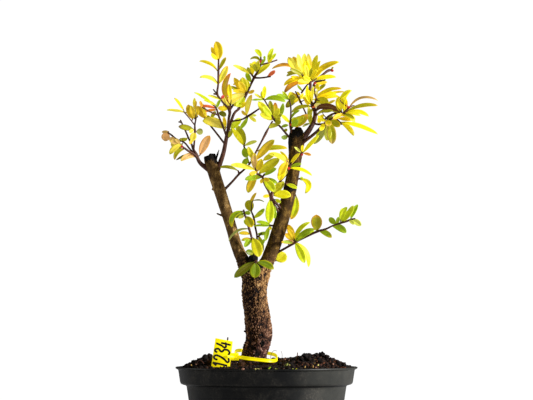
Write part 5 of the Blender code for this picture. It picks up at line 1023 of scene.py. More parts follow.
@dataclass(frozen=True)
class TwigFinish(Finish):
    """Thin maroon bark with tan grain."""

    def look(self, graph: Graph, groups: SharedGroups) -> dict[str, Value]:
        """Mix maroon and brown patches under the grain."""
        grain = graph.group(groups.grain, {"Scale": 700.0})
        patches = graph.steps(graph.noise(graph.place(), 120.0), 0.40, 0.62)
        wood = graph.mix(patches, linear(56, 18, 12), linear(92, 44, 22))
        colour = graph.mix(graph.times(grain, 0.28), wood, linear(146, 90, 54))
        colour = groups.mottled(graph, colour, 900.0, 0.3)
        return {"Base Color": colour, "Normal": graph.bump(grain, 0.0002)}


@dataclass(frozen=True)
class BarkFinish(Finish):
    """Rough bark: dark pits, reddish brown body, tan and grey flakes, charred cuts, spots of painted
    shadow, and painted light on the trunk's upper right.
    """

    specular: float = 0.25

    def look(self, graph: Graph, groups: SharedGroups) -> dict[str, Value]:
        """Read the wood's marks of relief, limb, and char with painted shadow, and colour each part by
        them.
        """
        place = graph.place()
        sideways = graph.axis(place, 0)
        fine = graph.noise(place, 900.0, 4.0, 0.7)
        level = graph.math(
            "MULTIPLY_ADD", graph.math("SUBTRACT", fine, 0.5), 0.8, graph.attribute("relief", "Fac")
        )
        patch = graph.math("SUBTRACT", graph.noise(place, 170.0, 4.0, 0.6), 0.5)
        level = graph.math("MULTIPLY_ADD", patch, 1.5, level)
        colour = graph.mix(
            graph.attribute("limb", "Fac"), self.trunk(graph, place, sideways, level),
            self.branch(graph, groups, sideways, level),
        )
        colour = groups.mottled(graph, colour, 140.0, 0.35)
        # Near black for the charred cuts, and as painted shadow in the shadow spots
        char_and_shadow_colour = groups.mottled(graph, linear(17, 12, 10), 500.0, 0.5)
        colour = graph.mix(graph.attribute("char", "Fac"), colour, char_and_shadow_colour)
        return {"Base Color": colour, "Normal": graph.bump(fine, 0.0011)}

    @staticmethod
    def trunk(graph: Graph, place: Socket, sideways: Socket, level: Socket) -> Socket:
        """Return the trunk's colour, reddish at its foot, with painted light on its upper right and painted
        shade on its upper left.
        """
        drift = graph.math("MULTIPLY_ADD", graph.noise(place, 90.0), 0.030, graph.axis(place, 2))
        upper = graph.steps(drift, 0.170, 0.245)
        # Painted light and shade: the upper skin is lighter on the right, where the key light falls, and
        # darker on the left.
        lit_right_side = graph.steps(sideways, -0.016, -0.006)
        tan = graph.mix(lit_right_side, linear(78, 46, 24), linear(132, 92, 54))
        skin = graph.mix(upper, linear(78, 42, 33), tan)
        flake = graph.mix(upper, linear(146, 104, 88), linear(196, 150, 94))
        crest = graph.mix(upper, linear(206, 170, 152), linear(228, 190, 134))
        colour = graph.mix(graph.steps(level, 0.05, 0.34), linear(20, 8, 6), skin)
        colour = graph.mix(graph.steps(level, 0.32, 0.62), colour, flake)
        return graph.mix(graph.steps(level, 0.62, 0.95), colour, crest)

    @staticmethod
    def branch(graph: Graph, groups: SharedGroups, sideways: Socket, level: Socket) -> Socket:
        """Return the limbs' colour, greener on the right one."""
        rightward = graph.steps(sideways, -0.030, 0.004)
        young = graph.mix(rightward, linear(124, 92, 46), linear(84, 60, 20))
        lit = graph.mix(rightward, linear(220, 176, 110), linear(166, 128, 58))
        colour = graph.mix(graph.steps(level, 0.0, 0.5), linear(36, 21, 9), young)
        colour = graph.mix(graph.steps(level, 0.48, 0.95), colour, lit)
        grain = graph.group(groups.grain, {"Scale": 420.0})
        return graph.mix(graph.times(grain, 0.35), colour, linear(72, 44, 24))


@dataclass(frozen=True)
class EarthFinish(Finish):
    """Moist crumbs whose own tint is stored in the mesh."""

    specular: float = 0.3

    def look(self, graph: Graph, groups: SharedGroups) -> dict[str, Value]:
        """Mottle each crumb's tint and scatter pale specks over it."""
        place = graph.place()
        colour = groups.mottled(graph, graph.attribute("tint"), 420.0, 0.55)
        specks = graph.steps(graph.noise(place, 1100.0, 2.0), 0.63, 0.74, 0.5)
        colour = graph.mix(specks, colour, linear(120, 78, 52))
        return {"Base Color": colour, "Normal": graph.bump(graph.noise(place, 900.0, 4.0), 0.0005)}


@dataclass(frozen=True)
class PotFinish(Finish):
    """Black moulded plastic, dusted with soil and rubbed grey, with a haze that is partly painted light on
    its right side, and a painted shadow under its collar's step.
    """

    specular: float = 0.2
    step_height: float = 0.1252

    def look(self, graph: Graph, groups: SharedGroups) -> dict[str, Value]:
        """Lay a haze that is partly scuffs and partly painted light on the right side, dust, rubbed streaks
        and a painted shadow under the step over the black.
        """
        place = graph.place()
        body = groups.mottled(graph, linear(7, 8, 9), 70.0, 0.18)
        # Partly scuffs and partly painted light: a pale haze on the pot's right side, where the key light
        # falls.
        rightward = graph.steps(graph.axis(place, 0), 0.015, 0.070, 0.42)
        scuff_haze_and_light = graph.times(graph.noise(place, 30.0, 4.0), rightward)
        colour = graph.mix(scuff_haze_and_light, body, linear(104, 104, 96))
        dust = graph.group(groups.dust, {"Scale": 42.0, "Amount": 0.55})
        colour = graph.mix(dust, colour, linear(88, 83, 74))
        streaks = graph.noise(graph.stretch(place, 9.0), 160.0, 5.0, 0.75)
        rubbed = graph.times(graph.steps(streaks, 0.60, 0.72), 0.22)
        colour = graph.mix(rubbed, colour, linear(96, 98, 98))
        # Painted shadow: a near-black band just under the collar's step.
        off_step = graph.math("ABSOLUTE", graph.math("SUBTRACT", graph.axis(place, 2), self.step_height))
        colour = graph.mix(graph.steps(off_step, 0.0014, 0.0006), colour, linear(4, 4, 4))
        return {
            "Base Color": colour,
            "Roughness": graph.math("MULTIPLY_ADD", dust, 0.35, self.roughness),
            "Normal": graph.bump(graph.noise(place, 1600.0), 0.00012),
        }


@dataclass(frozen=True)
class NylonFinish(Finish):
    """Bright yellow nylon with soil smears near its foot, and a painted glow that lightens its shaded
    faces.
    """

    specular: float = 0.3
    # Painted glow that lightens the tie's shaded faces
    painted_glow: float = 0.55

    def look(self, graph: Graph, groups: SharedGroups) -> dict[str, Value]:
        """Smear the yellow with dust, more so lower down."""
        place = graph.place()
        dust = graph.group(groups.dust, {"Scale": 90.0, "Amount": 1.0})
        smear = graph.times(dust, graph.steps(graph.axis(place, 2), 0.163, 0.147, 0.55))
        body = groups.mottled(graph, linear(244, 228, 0), 120.0, 0.06)
        colour = graph.mix(smear, body, linear(196, 140, 10))
        return {"Base Color": colour, "Normal": graph.bump(graph.noise(place, 1200.0, 2.0), 0.0001)}


@dataclass(frozen=True)
class InkFinish(Finish):
    """Marker ink, a little uneven where the pen lifted."""

    def look(self, graph: Graph, groups: SharedGroups) -> dict[str, Value]:
        """Mix dark and worn strokes."""
        worn = graph.steps(graph.noise(graph.place(), 700.0), 0.55, 0.80, 0.35)
        ink = graph.mix(worn, linear(24, 14, 6), linear(86, 64, 10))
        return {"Base Color": groups.mottled(graph, ink, 500.0, 0.3)}


@dataclass(frozen=True)
class FloorFinish(Finish):
    """A plain pale floor."""

    def look(self, graph: Graph, groups: SharedGroups) -> dict[str, Value]:
        """Mottle the pale grey very slightly."""
        return {"Base Color": groups.mottled(graph, linear(236, 236, 236), 3.0, 0.02)}


class Palette:
    """Every material of the scene, made once."""

    def __init__(self) -> None:
        """Make the shared groups and the materials."""
        groups = SharedGroups()
        self.leaf = LeafFinish("leaf_blade", 0.42).make(groups)
        self.twig = TwigFinish("twig_bark", 0.62).make(groups)
        self.bark = BarkFinish("old_bark", 0.86).make(groups)
        self.earth = EarthFinish("moist_earth", 0.92).make(groups)
        self.pot = PotFinish("pot_plastic", 0.42).make(groups)
        self.nylon = NylonFinish("yellow_nylon", 0.38).make(groups)
        self.ink = InkFinish("marker_ink", 0.55).make(groups)
        self.floor = FloorFinish("pale_floor", 0.85).make(groups)


@dataclass
class Blade:
    """One leaf blade, modelled once: a grid shaped row by row, and then bent to each leaf."""

    columns: int = 8
    rows: int = 16
    groove: float = 0.07
    foot_width: float = 0.10
    widest: float = 0.54
    points: np.ndarray = field(init=False)
    faces: list[tuple] = field(init=False)
    uvs: np.ndarray = field(init=False)

    def half_width(self, share: float) -> float:
        """Return the blade's half width at a share of its length, blunt at the tip."""
        if share < self.widest:
            return max((1.0 - (1.0 - share / self.widest) ** 2.0) ** 0.86, self.foot_width)
        past = (share - self.widest) / (1.0 - self.widest)
        return (1.0 - past ** 2.3) ** 0.66

    def __post_init__(self) -> None:
        """Model the blade with the mesh tools and keep its points, faces and coordinates."""
        clear_selection()
        bpy.ops.mesh.primitive_grid_add(
            x_subdivisions=self.columns, y_subdivisions=self.rows, size=2.0, location=ORIGIN
        )
        grid = bpy.context.object
        levels = sorted({round(vert.co.y, 5) for vert in grid.data.vertices})
        bpy.ops.object.mode_set(mode="EDIT")
        for level in levels:
            choose(grid, "verts", lambda vert, level=level: abs(vert.co.y - level) < 0.001)
            width = self.half_width(0.5 * (level + 1.0))
            bpy.ops.transform.resize(value=(max(width, 0.001), 1.0, 1.0))
        choose(grid, "verts", lambda vert: abs(vert.co.x) < 0.001)
        bpy.ops.transform.translate(value=(0.0, 0.0, -self.groove))
        bpy.ops.object.mode_set(mode="OBJECT")
        settle(grid)
        self.points, self.faces = shape_of(grid)
        self.uvs = np.array([loop.uv[:] for loop in grid.data.uv_layers[0].data])
        bpy.data.objects.remove(grid, do_unlink=True)


@dataclass(frozen=True)
class LeafPlace:
    """Where a leaf stands: root on the stem, foot, knee and tip in millimetres, width and turn."""

    root: Vector
    foot: Vector
    knee: Vector
    tip: Vector
    width: float
    turn: float


@dataclass(frozen=True)
class Leaf:
    """One leaf, by the frame's own leaf rule."""

    foot_x: float
    foot_z: float
    tip_x: float
    tip_z: float
    width: float
    bow: float
    lean: float | None
    tint: str

    def placed(self, stems: tuple, index: int) -> LeafPlace:
        """Place the leaf on the nearest of the shoot's stems, with its number in the shoot."""
        distance, root = nearest_on_stems(stems, self.foot_x, self.foot_z)
        length = math.hypot(self.tip_x - self.foot_x, self.tip_z - self.foot_z)
        lean = self.lean
        if lean is RULED:
            lean = DEPTH_LEAN * length * math.sin(index * GOLDEN_ANGLE)
        foot_y = root.y + lean * distance / (distance + length)
        foot = Vector((self.foot_x, foot_y, self.foot_z))
        tip = Vector((self.tip_x, root.y + lean, self.tip_z))
        left = Vector((self.foot_z - self.tip_z, 0.0, self.tip_x - self.foot_x)).normalized()
        knee = 0.5 * (foot + tip) + 2.0 * self.bow * left
        seen = SEEN_SHARE * self.width + SEEN_MORE
        width = max(seen, min(WIDEST_TURNED, SLENDERNESS * length, MOST_NARROWED * seen))
        turn = math.acos(seen / width) * (-1.0 if left.z >= 0.0 else 1.0)
        return LeafPlace(root, foot, knee, tip, width, turn)


def nearest_on_stems(stems: tuple, x: float, z: float) -> tuple[float, Vector]:
    """Find the stem that a leaf stands on.

    Args:
        stems: routes of x, y, z and radius.
        x: the leaf's foot, to the right.
        z: the leaf's foot, upwards.

    Returns:
        The distance seen from the front and the nearest point of the stems' middle lines.
    """
    found = (math.inf, Vector())
    for stem in stems:
        for low, high in zip(stem, stem[1:]):
            start = Vector(low[:3])
            step = Vector(high[:3]) - start
            flat = Vector((step.x, 0.0, step.z))
            reach = Vector((x - start.x, 0.0, z - start.z))
            part = min(max(reach.dot(flat) / max(flat.length_squared, 1e-6), 0.0), 1.0)
            point = start + part * step
            distance = math.hypot(point.x - x, point.z - z)
            if distance < found[0]:
                found = (distance, point)
    return found


def blade_axes(along: Vector, turn: float) -> tuple[Vector, Vector]:
    """Return the directions across and out of a blade that lies along the given way."""
    level = along.cross(Vector((0.0, 1.0, 0.0)))
    level = level.normalized() if level.length > 1e-6 else Vector((1.0, 0.0, 0.0))
    facing = along.cross(level)
    side = math.cos(turn) * level + math.sin(turn) * facing
    return side, along.cross(side)


@dataclass
class Shoot:
    """A leafy shoot: its twigs, the stalks of its leaves and its blades."""

    name: str
    stems: tuple
    leaves: list[Leaf]
    more_twigs: tuple = ()
    blade_thickness: float = 0.00034
    stalk_radius: float = 0.42
    stalk_reach: float = 0.22
    ripple: float = 0.05

    def build(self, blade: Blade, palette: Palette) -> None:
        """Build the shoot in place of its CAD node."""
        piece = join(self.twigs(palette.twig), [self.blades(blade, palette.leaf)])
        piece.name = self.name + "_foliage"
        piece.data.name = piece.name
        hand_over(piece, self.name, self.name)

    def twigs(self, material: bpy.types.Material) -> bpy.types.Object:
        """Return the twigs and stalks as round tubes that swell at their nodes."""
        routes = [
            [(Vector(point[:3]), point[3]) for point in stem] for stem in (*self.stems, *self.more_twigs)
        ]
        for index, leaf in enumerate(self.leaves):
            at = leaf.placed(self.stems, index)
            route = [(at.root, 1.5 * self.stalk_radius)]
            if (at.foot - at.root).length > 1.0:
                route.append((at.foot, self.stalk_radius))
            inside = at.foot + self.stalk_reach * (at.knee - at.foot)
            route.append((inside, 0.7 * self.stalk_radius))
            routes.append(route)
        made = tubes(self.name + "_twigs", routes, 4, 2)
        dress(made, material)
        if not made.data.uv_layers:
            made.data.uv_layers.new(name="UVMap")
        made.data.uv_layers[0].name = "UVMap"
        for name in ("tint", "rim_tint"):
            paint(made, name, np.tile(Tint.BROWN.linear(), (len(made.data.vertices), 1)))
        return made

    def blades(self, blade: Blade, material: bpy.types.Material) -> bpy.types.Object:
        """Return all blades of the shoot, bent and turned to their places, as thin closed leaves."""
        verts, faces, tints, rims = [], [], [], []
        count = len(blade.points)
        for index, leaf in enumerate(self.leaves):
            verts.append(self.bent(blade, leaf, index))
            faces += [tuple(k + index * count for k in face) for face in blade.faces]
            body, _, edge = leaf.tint.partition("/")
            tint = np.array(Tint[body].linear())
            rim = np.array(Tint[edge].linear()) if edge else np.minimum(tint * 1.25 + 0.03, 1.0)
            tints.append(np.tile(tint, (count, 1)))
            rims.append(np.tile(rim, (count, 1)))
        obj = mesh_object(self.name + "_blades", np.concatenate(verts), faces)
        layer = obj.data.uv_layers.new(name="UVMap")
        layer.data.foreach_set("uv", np.tile(blade.uvs, (len(self.leaves), 1)).ravel())
        paint(obj, "tint", np.concatenate(tints))
        paint(obj, "rim_tint", np.concatenate(rims))
        edit_all(obj, bpy.ops.mesh.remove_doubles, threshold=0.00005)
        apply_modifier(obj, "SOLIDIFY", thickness=self.blade_thickness, offset=0.0)
        dress(obj, material)
        return obj

    def bent(self, blade: Blade, leaf: Leaf, index: int) -> np.ndarray:
        """Return the blade's points bent along one leaf, with its own waves."""
        draw = random.Random(f"{self.name} {index}")
        at = leaf.placed(self.stems, index)
        half = 0.5 * at.width
        phase = draw.uniform(0.0, math.tau)
        waves = draw.uniform(1.2, 2.4)
        twist = draw.uniform(-0.22, 0.22)
        curl = draw.uniform(-0.02, 0.03) * (at.tip - at.foot).length
        places = np.zeros_like(blade.points)
        for k, (across, level, height) in enumerate(blade.points.tolist()):
            share = 0.5 * (level + 1.0)
            left = 1.0 - share
            centre = left ** 2 * at.foot + 2.0 * share * left * at.knee + share ** 2 * at.tip
            along = (left * (at.knee - at.foot) + share * (at.tip - at.knee)).normalized()
            side, up = blade_axes(along, at.turn + twist * (share - 0.5))
            ripple = self.ripple * half * math.sin(math.tau * waves * share + phase + 0.8 * across)
            rise = half * (FOLD * abs(across) + height) + ripple * across * across
            rise += 4.0 * curl * share * left
            places[k] = (centre + half * across * side + rise * up) * MM
        return places


@dataclass
class Wood:
    """The trunk with both limbs: the frame's own wood, remeshed finely and given its bark."""

    seed: int = 5
    voxel: float = 0.0007
    trunk_relief: float = 0.0019
    limb_relief: float = 0.0004
    spot_relief: float = 0.0005
    spot_ragged: float = 0.35
    spot_full: float = 0.80
    spot_ends: float = 1.15
    trunk_swell: float = 0.00015
    limb_swell: float = 0.0003
    limbs_from: float = 0.238
    limbs_full: float = 0.262
    # Middle and half sizes, in millimetres, of what is charred and of the spots of painted shadow
    char_and_shadow_spots: tuple = (
        ((-57, 8, 355), (9, 9, 7.5)), ((28, -8, 379.5), (10, 10, 8.5)), ((-50, 4, 354), (4, 5, 8)),
        # The two spots at the fork are mostly painted shadow of the leaves above it
        ((-12.8, -5, 254), (9, 9, 5.5)), ((-10, -12, 247), (11, 7, 7)), ((24, -8, 323), (6.5, 6, 4.5)),
        # The spot on the left of the right limb's head is partly charring, partly painted shade
        ((22.5, -9, 369), (4.5, 10, 9)), ((-4, -13, 167), (2.6, 5, 3.6)),
        ((-5.5, -13, 175.5), (2.6, 5, 1.6)), ((-10, -13, 156.5), (2.6, 5, 2.2)),
    )

    def build(self, palette: Palette) -> None:
        """Build the wood in place of the trunk's CAD node."""
        obj = copy_of_node("trunk", "barked_wood")
        apply_modifier(obj, "REMESH", mode="VOXEL", voxel_size=self.voxel)
        apply_modifier(obj, "SMOOTH", factor=0.5, iterations=4)
        self.roughen(obj)
        dress(obj, palette.bark)
        hand_over(obj, "trunk", "trunk")

    def roughen(self, obj: bpy.types.Object) -> None:
        """Raise flakes, cracks and streaks, and mark relief, limbs, charred wood and the spots of painted
        shadow.

        The noise is seeded first, so that the flakes are the same each time.
        """
        noise.seed_set(self.seed)
        places = points_of(obj)
        normals = np.zeros(len(places) * 3, np.float32)
        obj.data.vertex_normals.foreach_get("vector", normals)
        marks = np.zeros((3, len(places)))
        for k, (place, normal) in enumerate(zip(places, normals.reshape(-1, 3))):
            point = Vector(place.tolist())
            limb = smoothstep(point.z, self.limbs_from, self.limbs_full)
            relief = (1.0 - limb) * self.flakes(point) + limb * self.streaks(point)
            char = self.char(point)
            depth = (1.0 - limb) * self.trunk_relief + limb * self.limb_relief + char * self.spot_relief
            places[k] += ((relief - 0.5) * depth + self.trunk_swell + limb * self.limb_swell) * normal
            marks[:, k] = (relief, limb, char)
        move_points(obj, places)
        for name, values in zip(("relief", "limb", "char"), marks):
            mark(obj, name, values)

    @staticmethod
    def flakes(point: Vector) -> float:
        """Return the height of the trunk's flaky bark from 0 to 1."""
        at = point + 0.0016 * noise.noise_vector(point * 260.0)
        cells, _ = noise.voronoi(Vector((at.x * 540.0, at.y * 540.0, at.z * 360.0)))
        crack = smoothstep(cells[1] - cells[0], 0.0, 0.42)
        body = 0.05 + 0.55 * wave(at, 230.0, 95.0) + 0.45 * wave(point, 520.0, 520.0)
        return min(max(crack * body + 0.30 * wave(point, 1500.0, 1500.0) - 0.12, 0.0), 1.0)

    @staticmethod
    def streaks(point: Vector) -> float:
        """Return the height of the limbs' finer, lengthways bark from 0 to 1."""
        return min(max(0.5 * wave(point, 230.0, 60.0) + 0.5 * wave(point, 600.0, 110.0), 0.0), 1.0)

    def char(self, point: Vector) -> float:
        """Return how dark the wood is at a point, from 0 to 1, where it is charred and where shadow is
        painted on it.
        """
        at = point / MM
        most = 0.0
        for middle, half in self.char_and_shadow_spots:
            reach = math.sqrt(sum(((at[i] - middle[i]) / half[i]) ** 2 for i in range(3)))
            reach += self.spot_ragged * noise.noise(point * 420.0)
            most = max(most, smoothstep(-reach, -self.spot_ends, -self.spot_full))
        return most


@dataclass
class Pot:
    """The moulded pot, turned from its outline in the frame's sizes."""

    segments: int = 128
    floor: float = 0.0050
    drains: int = 8
    drain_circle: float = 0.0440
    drain_radius: float = 0.0040
    drill_length: float = 0.012
    sharp_from: float = 32.0
    # Radius and height in millimetres, from the middle of the underside round the outside, over
    # the lip and down the inside to the floor
    outline: tuple = (
        (30.0, 0.0), (31.0, 3.0), (56.5, 3.0), (57.5, 0.0), (60.9, 0.0), (61.5, 0.6),
        (79.6, 121.6), (80.0, 124.0), (80.6, 124.9), (84.9, 126.2), (86.0, 127.2),
        (86.5, 128.6), (88.2, 139.9), (88.6, 140.8), (89.6, 141.3), (90.7, 141.8), (91.1, 142.5),
        (91.0, 143.2), (90.5, 143.5), (89.6, 143.5), (88.2, 143.2), (87.0, 142.2),
        (86.5, 140.8), (84.3, 129.4), (78.1, 124.0), (60.4, 5.4), (59.9, 5.0),
    )

    def build(self, palette: Palette) -> None:
        """Build the pot in place of its CAD node."""
        outline = [(radius * MM, height * MM) for radius, height in self.outline]
        clear_selection()
        bpy.ops.mesh.primitive_circle_add(
            vertices=self.segments, radius=outline[0][0], fill_type="NGON", location=ORIGIN
        )
        obj = bpy.context.object
        obj.name = "moulded_pot"
        bpy.ops.object.mode_set(mode="EDIT")
        for (radius, height), (next_radius, next_height) in zip(outline, outline[1:]):
            rise = (0.0, 0.0, next_height - height)
            bpy.ops.mesh.extrude_region_move(TRANSFORM_OT_translate={"value": rise})
            share = next_radius / radius
            bpy.ops.transform.resize(value=(share, share, 1.0))
        bpy.ops.object.mode_set(mode="OBJECT")
        edit_all(obj, bpy.ops.mesh.normals_make_consistent, inside=False)
        settle(obj)
        self.drill(obj)
        dress(obj, palette.pot, self.sharp_from)
        hand_over(obj, "pot", "pot")

    def drill(self, obj: bpy.types.Object) -> None:
        """Cut the drain holes through the floor."""
        for hole in range(self.drains):
            angle = math.tau * (hole + 0.5) / self.drains
            x = self.drain_circle * math.cos(angle)
            y = self.drain_circle * math.sin(angle)
            clear_selection()
            bpy.ops.mesh.primitive_cylinder_add(
                vertices=32, radius=self.drain_radius, depth=self.drill_length, location=(x, y, self.floor)
            )
            cut(obj, bpy.context.object)


@dataclass
class Tie:
    """The yellow label tie: its strap round the trunk's foot, its head and its written plate.

    All sizes are in millimetres.
    """

    corners: tuple = ((-50.7, 173.2), (-33.5, 169.8), (-36.6, 142.8), (-55.2, 143.2))
    plate_y: float = -46.0
    plate_lean: float = 3.0
    plate_thickness: float = 1.3
    strap_height: float = 3.5
    strap_thickness: float = 1.4
    strap_corner: float = 0.35
    rail: float = 0.9
    channel: float = 0.3
    tooth: float = 0.22
    loop_centre: tuple = (-10.4, -12.0)
    loop_half: tuple = (20.8, 34.5)
    squareness: float = 3.5
    segments: int = 144
    level: float = 154.9
    slope_x: float = -0.115
    slope_y: float = 0.088
    neck_start: tuple = (-33.0, -40.0, 154.2)
    neck_end: tuple = (-40.0, -45.4, 154.8)
    pen_radius: float = 1.05
    pen_slant: float = 0.20
    pen_sunk: float = 0.05
    pen_flatness: float = 0.12
    sharp_from: float = 40.0

    def loop_point(self, angle: float) -> tuple[Vector, Vector]:
        """Return the middle of the strap in the given direction, and that direction."""
        out = Vector((math.cos(angle), math.sin(angle), 0.0))
        power = self.squareness
        size = (abs(out.x) ** power + abs(out.y) ** power) ** (1.0 / power)
        x = self.loop_centre[0] + self.loop_half[0] * out.x / size
        y = self.loop_centre[1] + self.loop_half[1] * out.y / size
        return Vector((x, y, self.level + self.slope_x * x + self.slope_y * y)), out

    def build(self, palette: Palette) -> None:
        """Build the tie in place of its CAD node, and its written numbers."""
        tie = join(self.strap(), [self.head(), self.neck(), self.plate()])
        tie.name = "moulded_tie"
        dress(tie, palette.nylon, self.sharp_from)
        hand_over(tie, "label_tie", "label_tie")
        self.digits(palette.ink)

    def strap(self) -> bpy.types.Object:
        """Return the strap's loop, with raised edges and the ladder of teeth on its outer face.

        It is built from points, because the loop is squarish and slopes, and every other section
        carries a tooth, which turning a section can't give.
        """
        thick, high = 0.5 * self.strap_thickness, 0.5 * self.strap_height
        corner, rail, channel = self.strap_corner, self.rail, self.channel
        section = (
            (thick, corner - high), (thick, rail - high), (thick - channel, rail + channel - high),
            (thick - channel, high - rail - channel), (thick, high - rail), (thick, high - corner),
            (thick - corner, high), (corner - thick, high), (-thick, high - corner),
            (-thick, corner - high), (corner - thick, -high), (thick - corner, -high),
        )
        verts, faces = [], []
        count = len(section)
        for k in range(self.segments):
            middle, out = self.loop_point(math.tau * k / self.segments)
            for index, (depth, height) in enumerate(section):
                raised = self.tooth if k % 2 and index in (2, 3) else 0.0
                verts.append((middle + (depth + raised) * out + Vector((0.0, 0.0, height))) * MM)
            near, far = k * count, ((k + 1) % self.segments) * count
            for c in range(count):
                d = (c + 1) % count
                faces.append((near + c, far + c, far + d, near + d))
        strap = mesh_object("strap", verts, faces)
        edit_all(strap, bpy.ops.mesh.normals_make_consistent, inside=False)
        return strap

    @staticmethod
    def block(name: str, centre: Vector, size: Vector, bevel: float) -> bpy.types.Object:
        """Return a block with rounded edges."""
        clear_selection()
        bpy.ops.mesh.primitive_cube_add(size=1.0, location=centre * MM)
        obj = bpy.context.object
        obj.name = name
        obj.scale = size * MM
        settle(obj)
        apply_modifier(obj, "BEVEL", width=bevel * MM, segments=3, limit_method="ANGLE")
        return obj

    def head(self) -> bpy.types.Object:
        """Return the head that the strap locks in, with its slot."""
        head = self.block("head", Vector((-31.4, -39.0, 154.6)), Vector((7.8, 5.6, 7.4)), 0.8)
        cut(head, self.block("slot", Vector((-31.0, -41.9, 154.6)), Vector((4.6, 2.4, 1.8)), 0.2))
        return head

    def neck(self) -> bpy.types.Object:
        """Return the neck between the head and the plate."""
        start, end = Vector(self.neck_start), Vector(self.neck_end)
        neck = self.block("neck", Vector(), Vector((4.2, 2.6, (end - start).length)), 0.6)
        turn = (end - start).to_track_quat("Z", "Y").to_matrix().to_4x4()
        neck.data.transform(Matrix.Translation(0.5 * (start + end) * MM) @ turn)
        return neck

    def plate_point(self, x: float, z: float, out: float) -> Vector:
        """Return a point on the plate's front, moved out of it."""
        foot = self.corners[2][1]
        back = self.plate_lean * (z - foot) / (self.corners[0][1] - foot)
        return Vector((x, self.plate_y + back - out, z))

    def plate(self) -> bpy.types.Object:
        """Return the plate, with rounded corners and a low rim."""
        clear_selection()
        bpy.ops.mesh.primitive_cube_add(size=2.0, location=ORIGIN)
        plate = bpy.context.object
        plate.name = "plate"
        order = {(-1, 1): 0, (1, 1): 1, (1, -1): 2, (-1, -1): 3}
        for vert in plate.data.vertices:
            x, z = self.corners[order[(round(vert.co.x), round(vert.co.z))]]
            depth = 0.0 if vert.co.y < 0.0 else -self.plate_thickness
            vert.co = self.plate_point(x, z, depth) * MM
        settle(plate)
        bpy.ops.object.mode_set(mode="EDIT")
        choose(plate, "faces", lambda face: face.normal.y < -0.8)
        bpy.ops.mesh.inset(thickness=0.0007, depth=0.0)
        bpy.ops.mesh.inset(thickness=0.0003, depth=-0.0002)
        bpy.ops.object.mode_set(mode="OBJECT")
        apply_modifier(plate, "BEVEL", width=0.0004, segments=2, limit_method="ANGLE", angle_limit=0.9)
        return plate

    def digits(self, ink: bpy.types.Material) -> None:
        """Write plain numbers on the plate in marker strokes, sideways from its foot upwards."""
        routes = []
        for middle_x, foot_z, width, height, strokes in WRITTEN:
            for stroke in strokes:
                route = []
                for u, v in stroke:
                    x = middle_x + (0.5 - v) * height
                    z = foot_z + u * width - self.pen_slant * (x - middle_x)
                    route.append((self.plate_point(x, z, -self.pen_sunk), self.pen_radius))
                routes.append(route)
        made = tubes("written_numbers", routes, 8, 3)
        dress(made, ink)
        self.flatten(made)
        hand_over(made, "label_tie")

    def flatten(self, obj: bpy.types.Object) -> None:
        """Press the strokes flat on to the plate, so that they stand only a hair proud."""
        places = points_of(obj)
        for place in places:
            front = self.plate_point(place[0] / MM, place[2] / MM, 0.0).y * MM
            place[1] = front + self.pen_flatness * (place[1] - front)
        move_points(obj, places)


@dataclass(frozen=True)
class GrainKind:
    """One kind of loose grain: its number, half lengths, flatness and colours."""

    number: int
    sizes: tuple[float, float]
    shares: tuple[float, float]
    colours: tuple[Tint, ...]


@dataclass
class Grains:
    """Grains of soil that become one piece, each a ball pushed out of shape.

    They are built from points, because there are over a thousand of them and no two are alike.
    """

    name: str
    draw: random.Random
    levels: int
    ragged: float = 0.0
    verts: list[np.ndarray] = field(default_factory=list)
    faces: list[tuple] = field(default_factory=list)
    tints: list[np.ndarray] = field(default_factory=list)
    ball: np.ndarray = field(init=False)
    ball_faces: list[tuple] = field(init=False)

    def __post_init__(self) -> None:
        """Keep the points and faces of a ball of radius 1."""
        clear_selection()
        bpy.ops.mesh.primitive_ico_sphere_add(subdivisions=self.levels, radius=1.0, location=ORIGIN)
        ball = bpy.context.object
        self.ball, self.ball_faces = shape_of(ball)
        bpy.data.objects.remove(ball, do_unlink=True)

    def reach(self, point: Vector, offset: Vector) -> float:
        """Return how far the skin lies out at a point of the ball."""
        far = 1.0 + 0.42 * noise.noise(point * 1.3 + offset)
        if self.ragged:
            far += self.ragged * (noise.noise(point * 3.1 + offset) + 0.5 * noise.noise(point * 6.5))
        return far

    def add(self, at: Vector, size: float, shares: tuple[float, float], tint: Tint) -> None:
        """Add one grain.

        Args:
            at: its middle.
            size: its largest half length.
            shares: its other two half lengths as shares of that.
            tint: its colour.
        """
        start = len(self.verts) * len(self.ball)
        offset = Vector([self.draw.uniform(-50.0, 50.0) for _ in range(3)])
        far = np.array([self.reach(Vector(point), offset) for point in self.ball])
        squash = np.array([1.0, *shares]) * self.draw.uniform(0.85, 1.15)
        turn = Matrix.Rotation(self.draw.uniform(0.0, math.tau), 3, "Z")
        turn @= Matrix.Rotation(self.draw.uniform(-0.6, 0.6), 3, "X")
        turn @= Matrix.Rotation(self.draw.uniform(-0.6, 0.6), 3, "Y")
        self.verts.append((self.ball * far[:, None] * squash * size) @ np.array(turn).T + np.array(at))
        self.faces.extend(tuple(k + start for k in face) for face in self.ball_faces)
        shade = self.draw.uniform(0.7, 1.35)
        colour = np.array(tint.linear()) * np.array([shade, shade, shade, 1.0])
        self.tints.append(np.tile(np.minimum(colour, 1.0), (len(self.ball), 1)))

    def finish(self, earth: bpy.types.Material) -> None:
        """Hand over all grains so far as one piece of the soil."""
        obj = mesh_object(self.name, np.concatenate(self.verts), self.faces)
        paint(obj, "tint", np.concatenate(self.tints))
        dress(obj, earth)
        hand_over(obj, "soil", "soil")


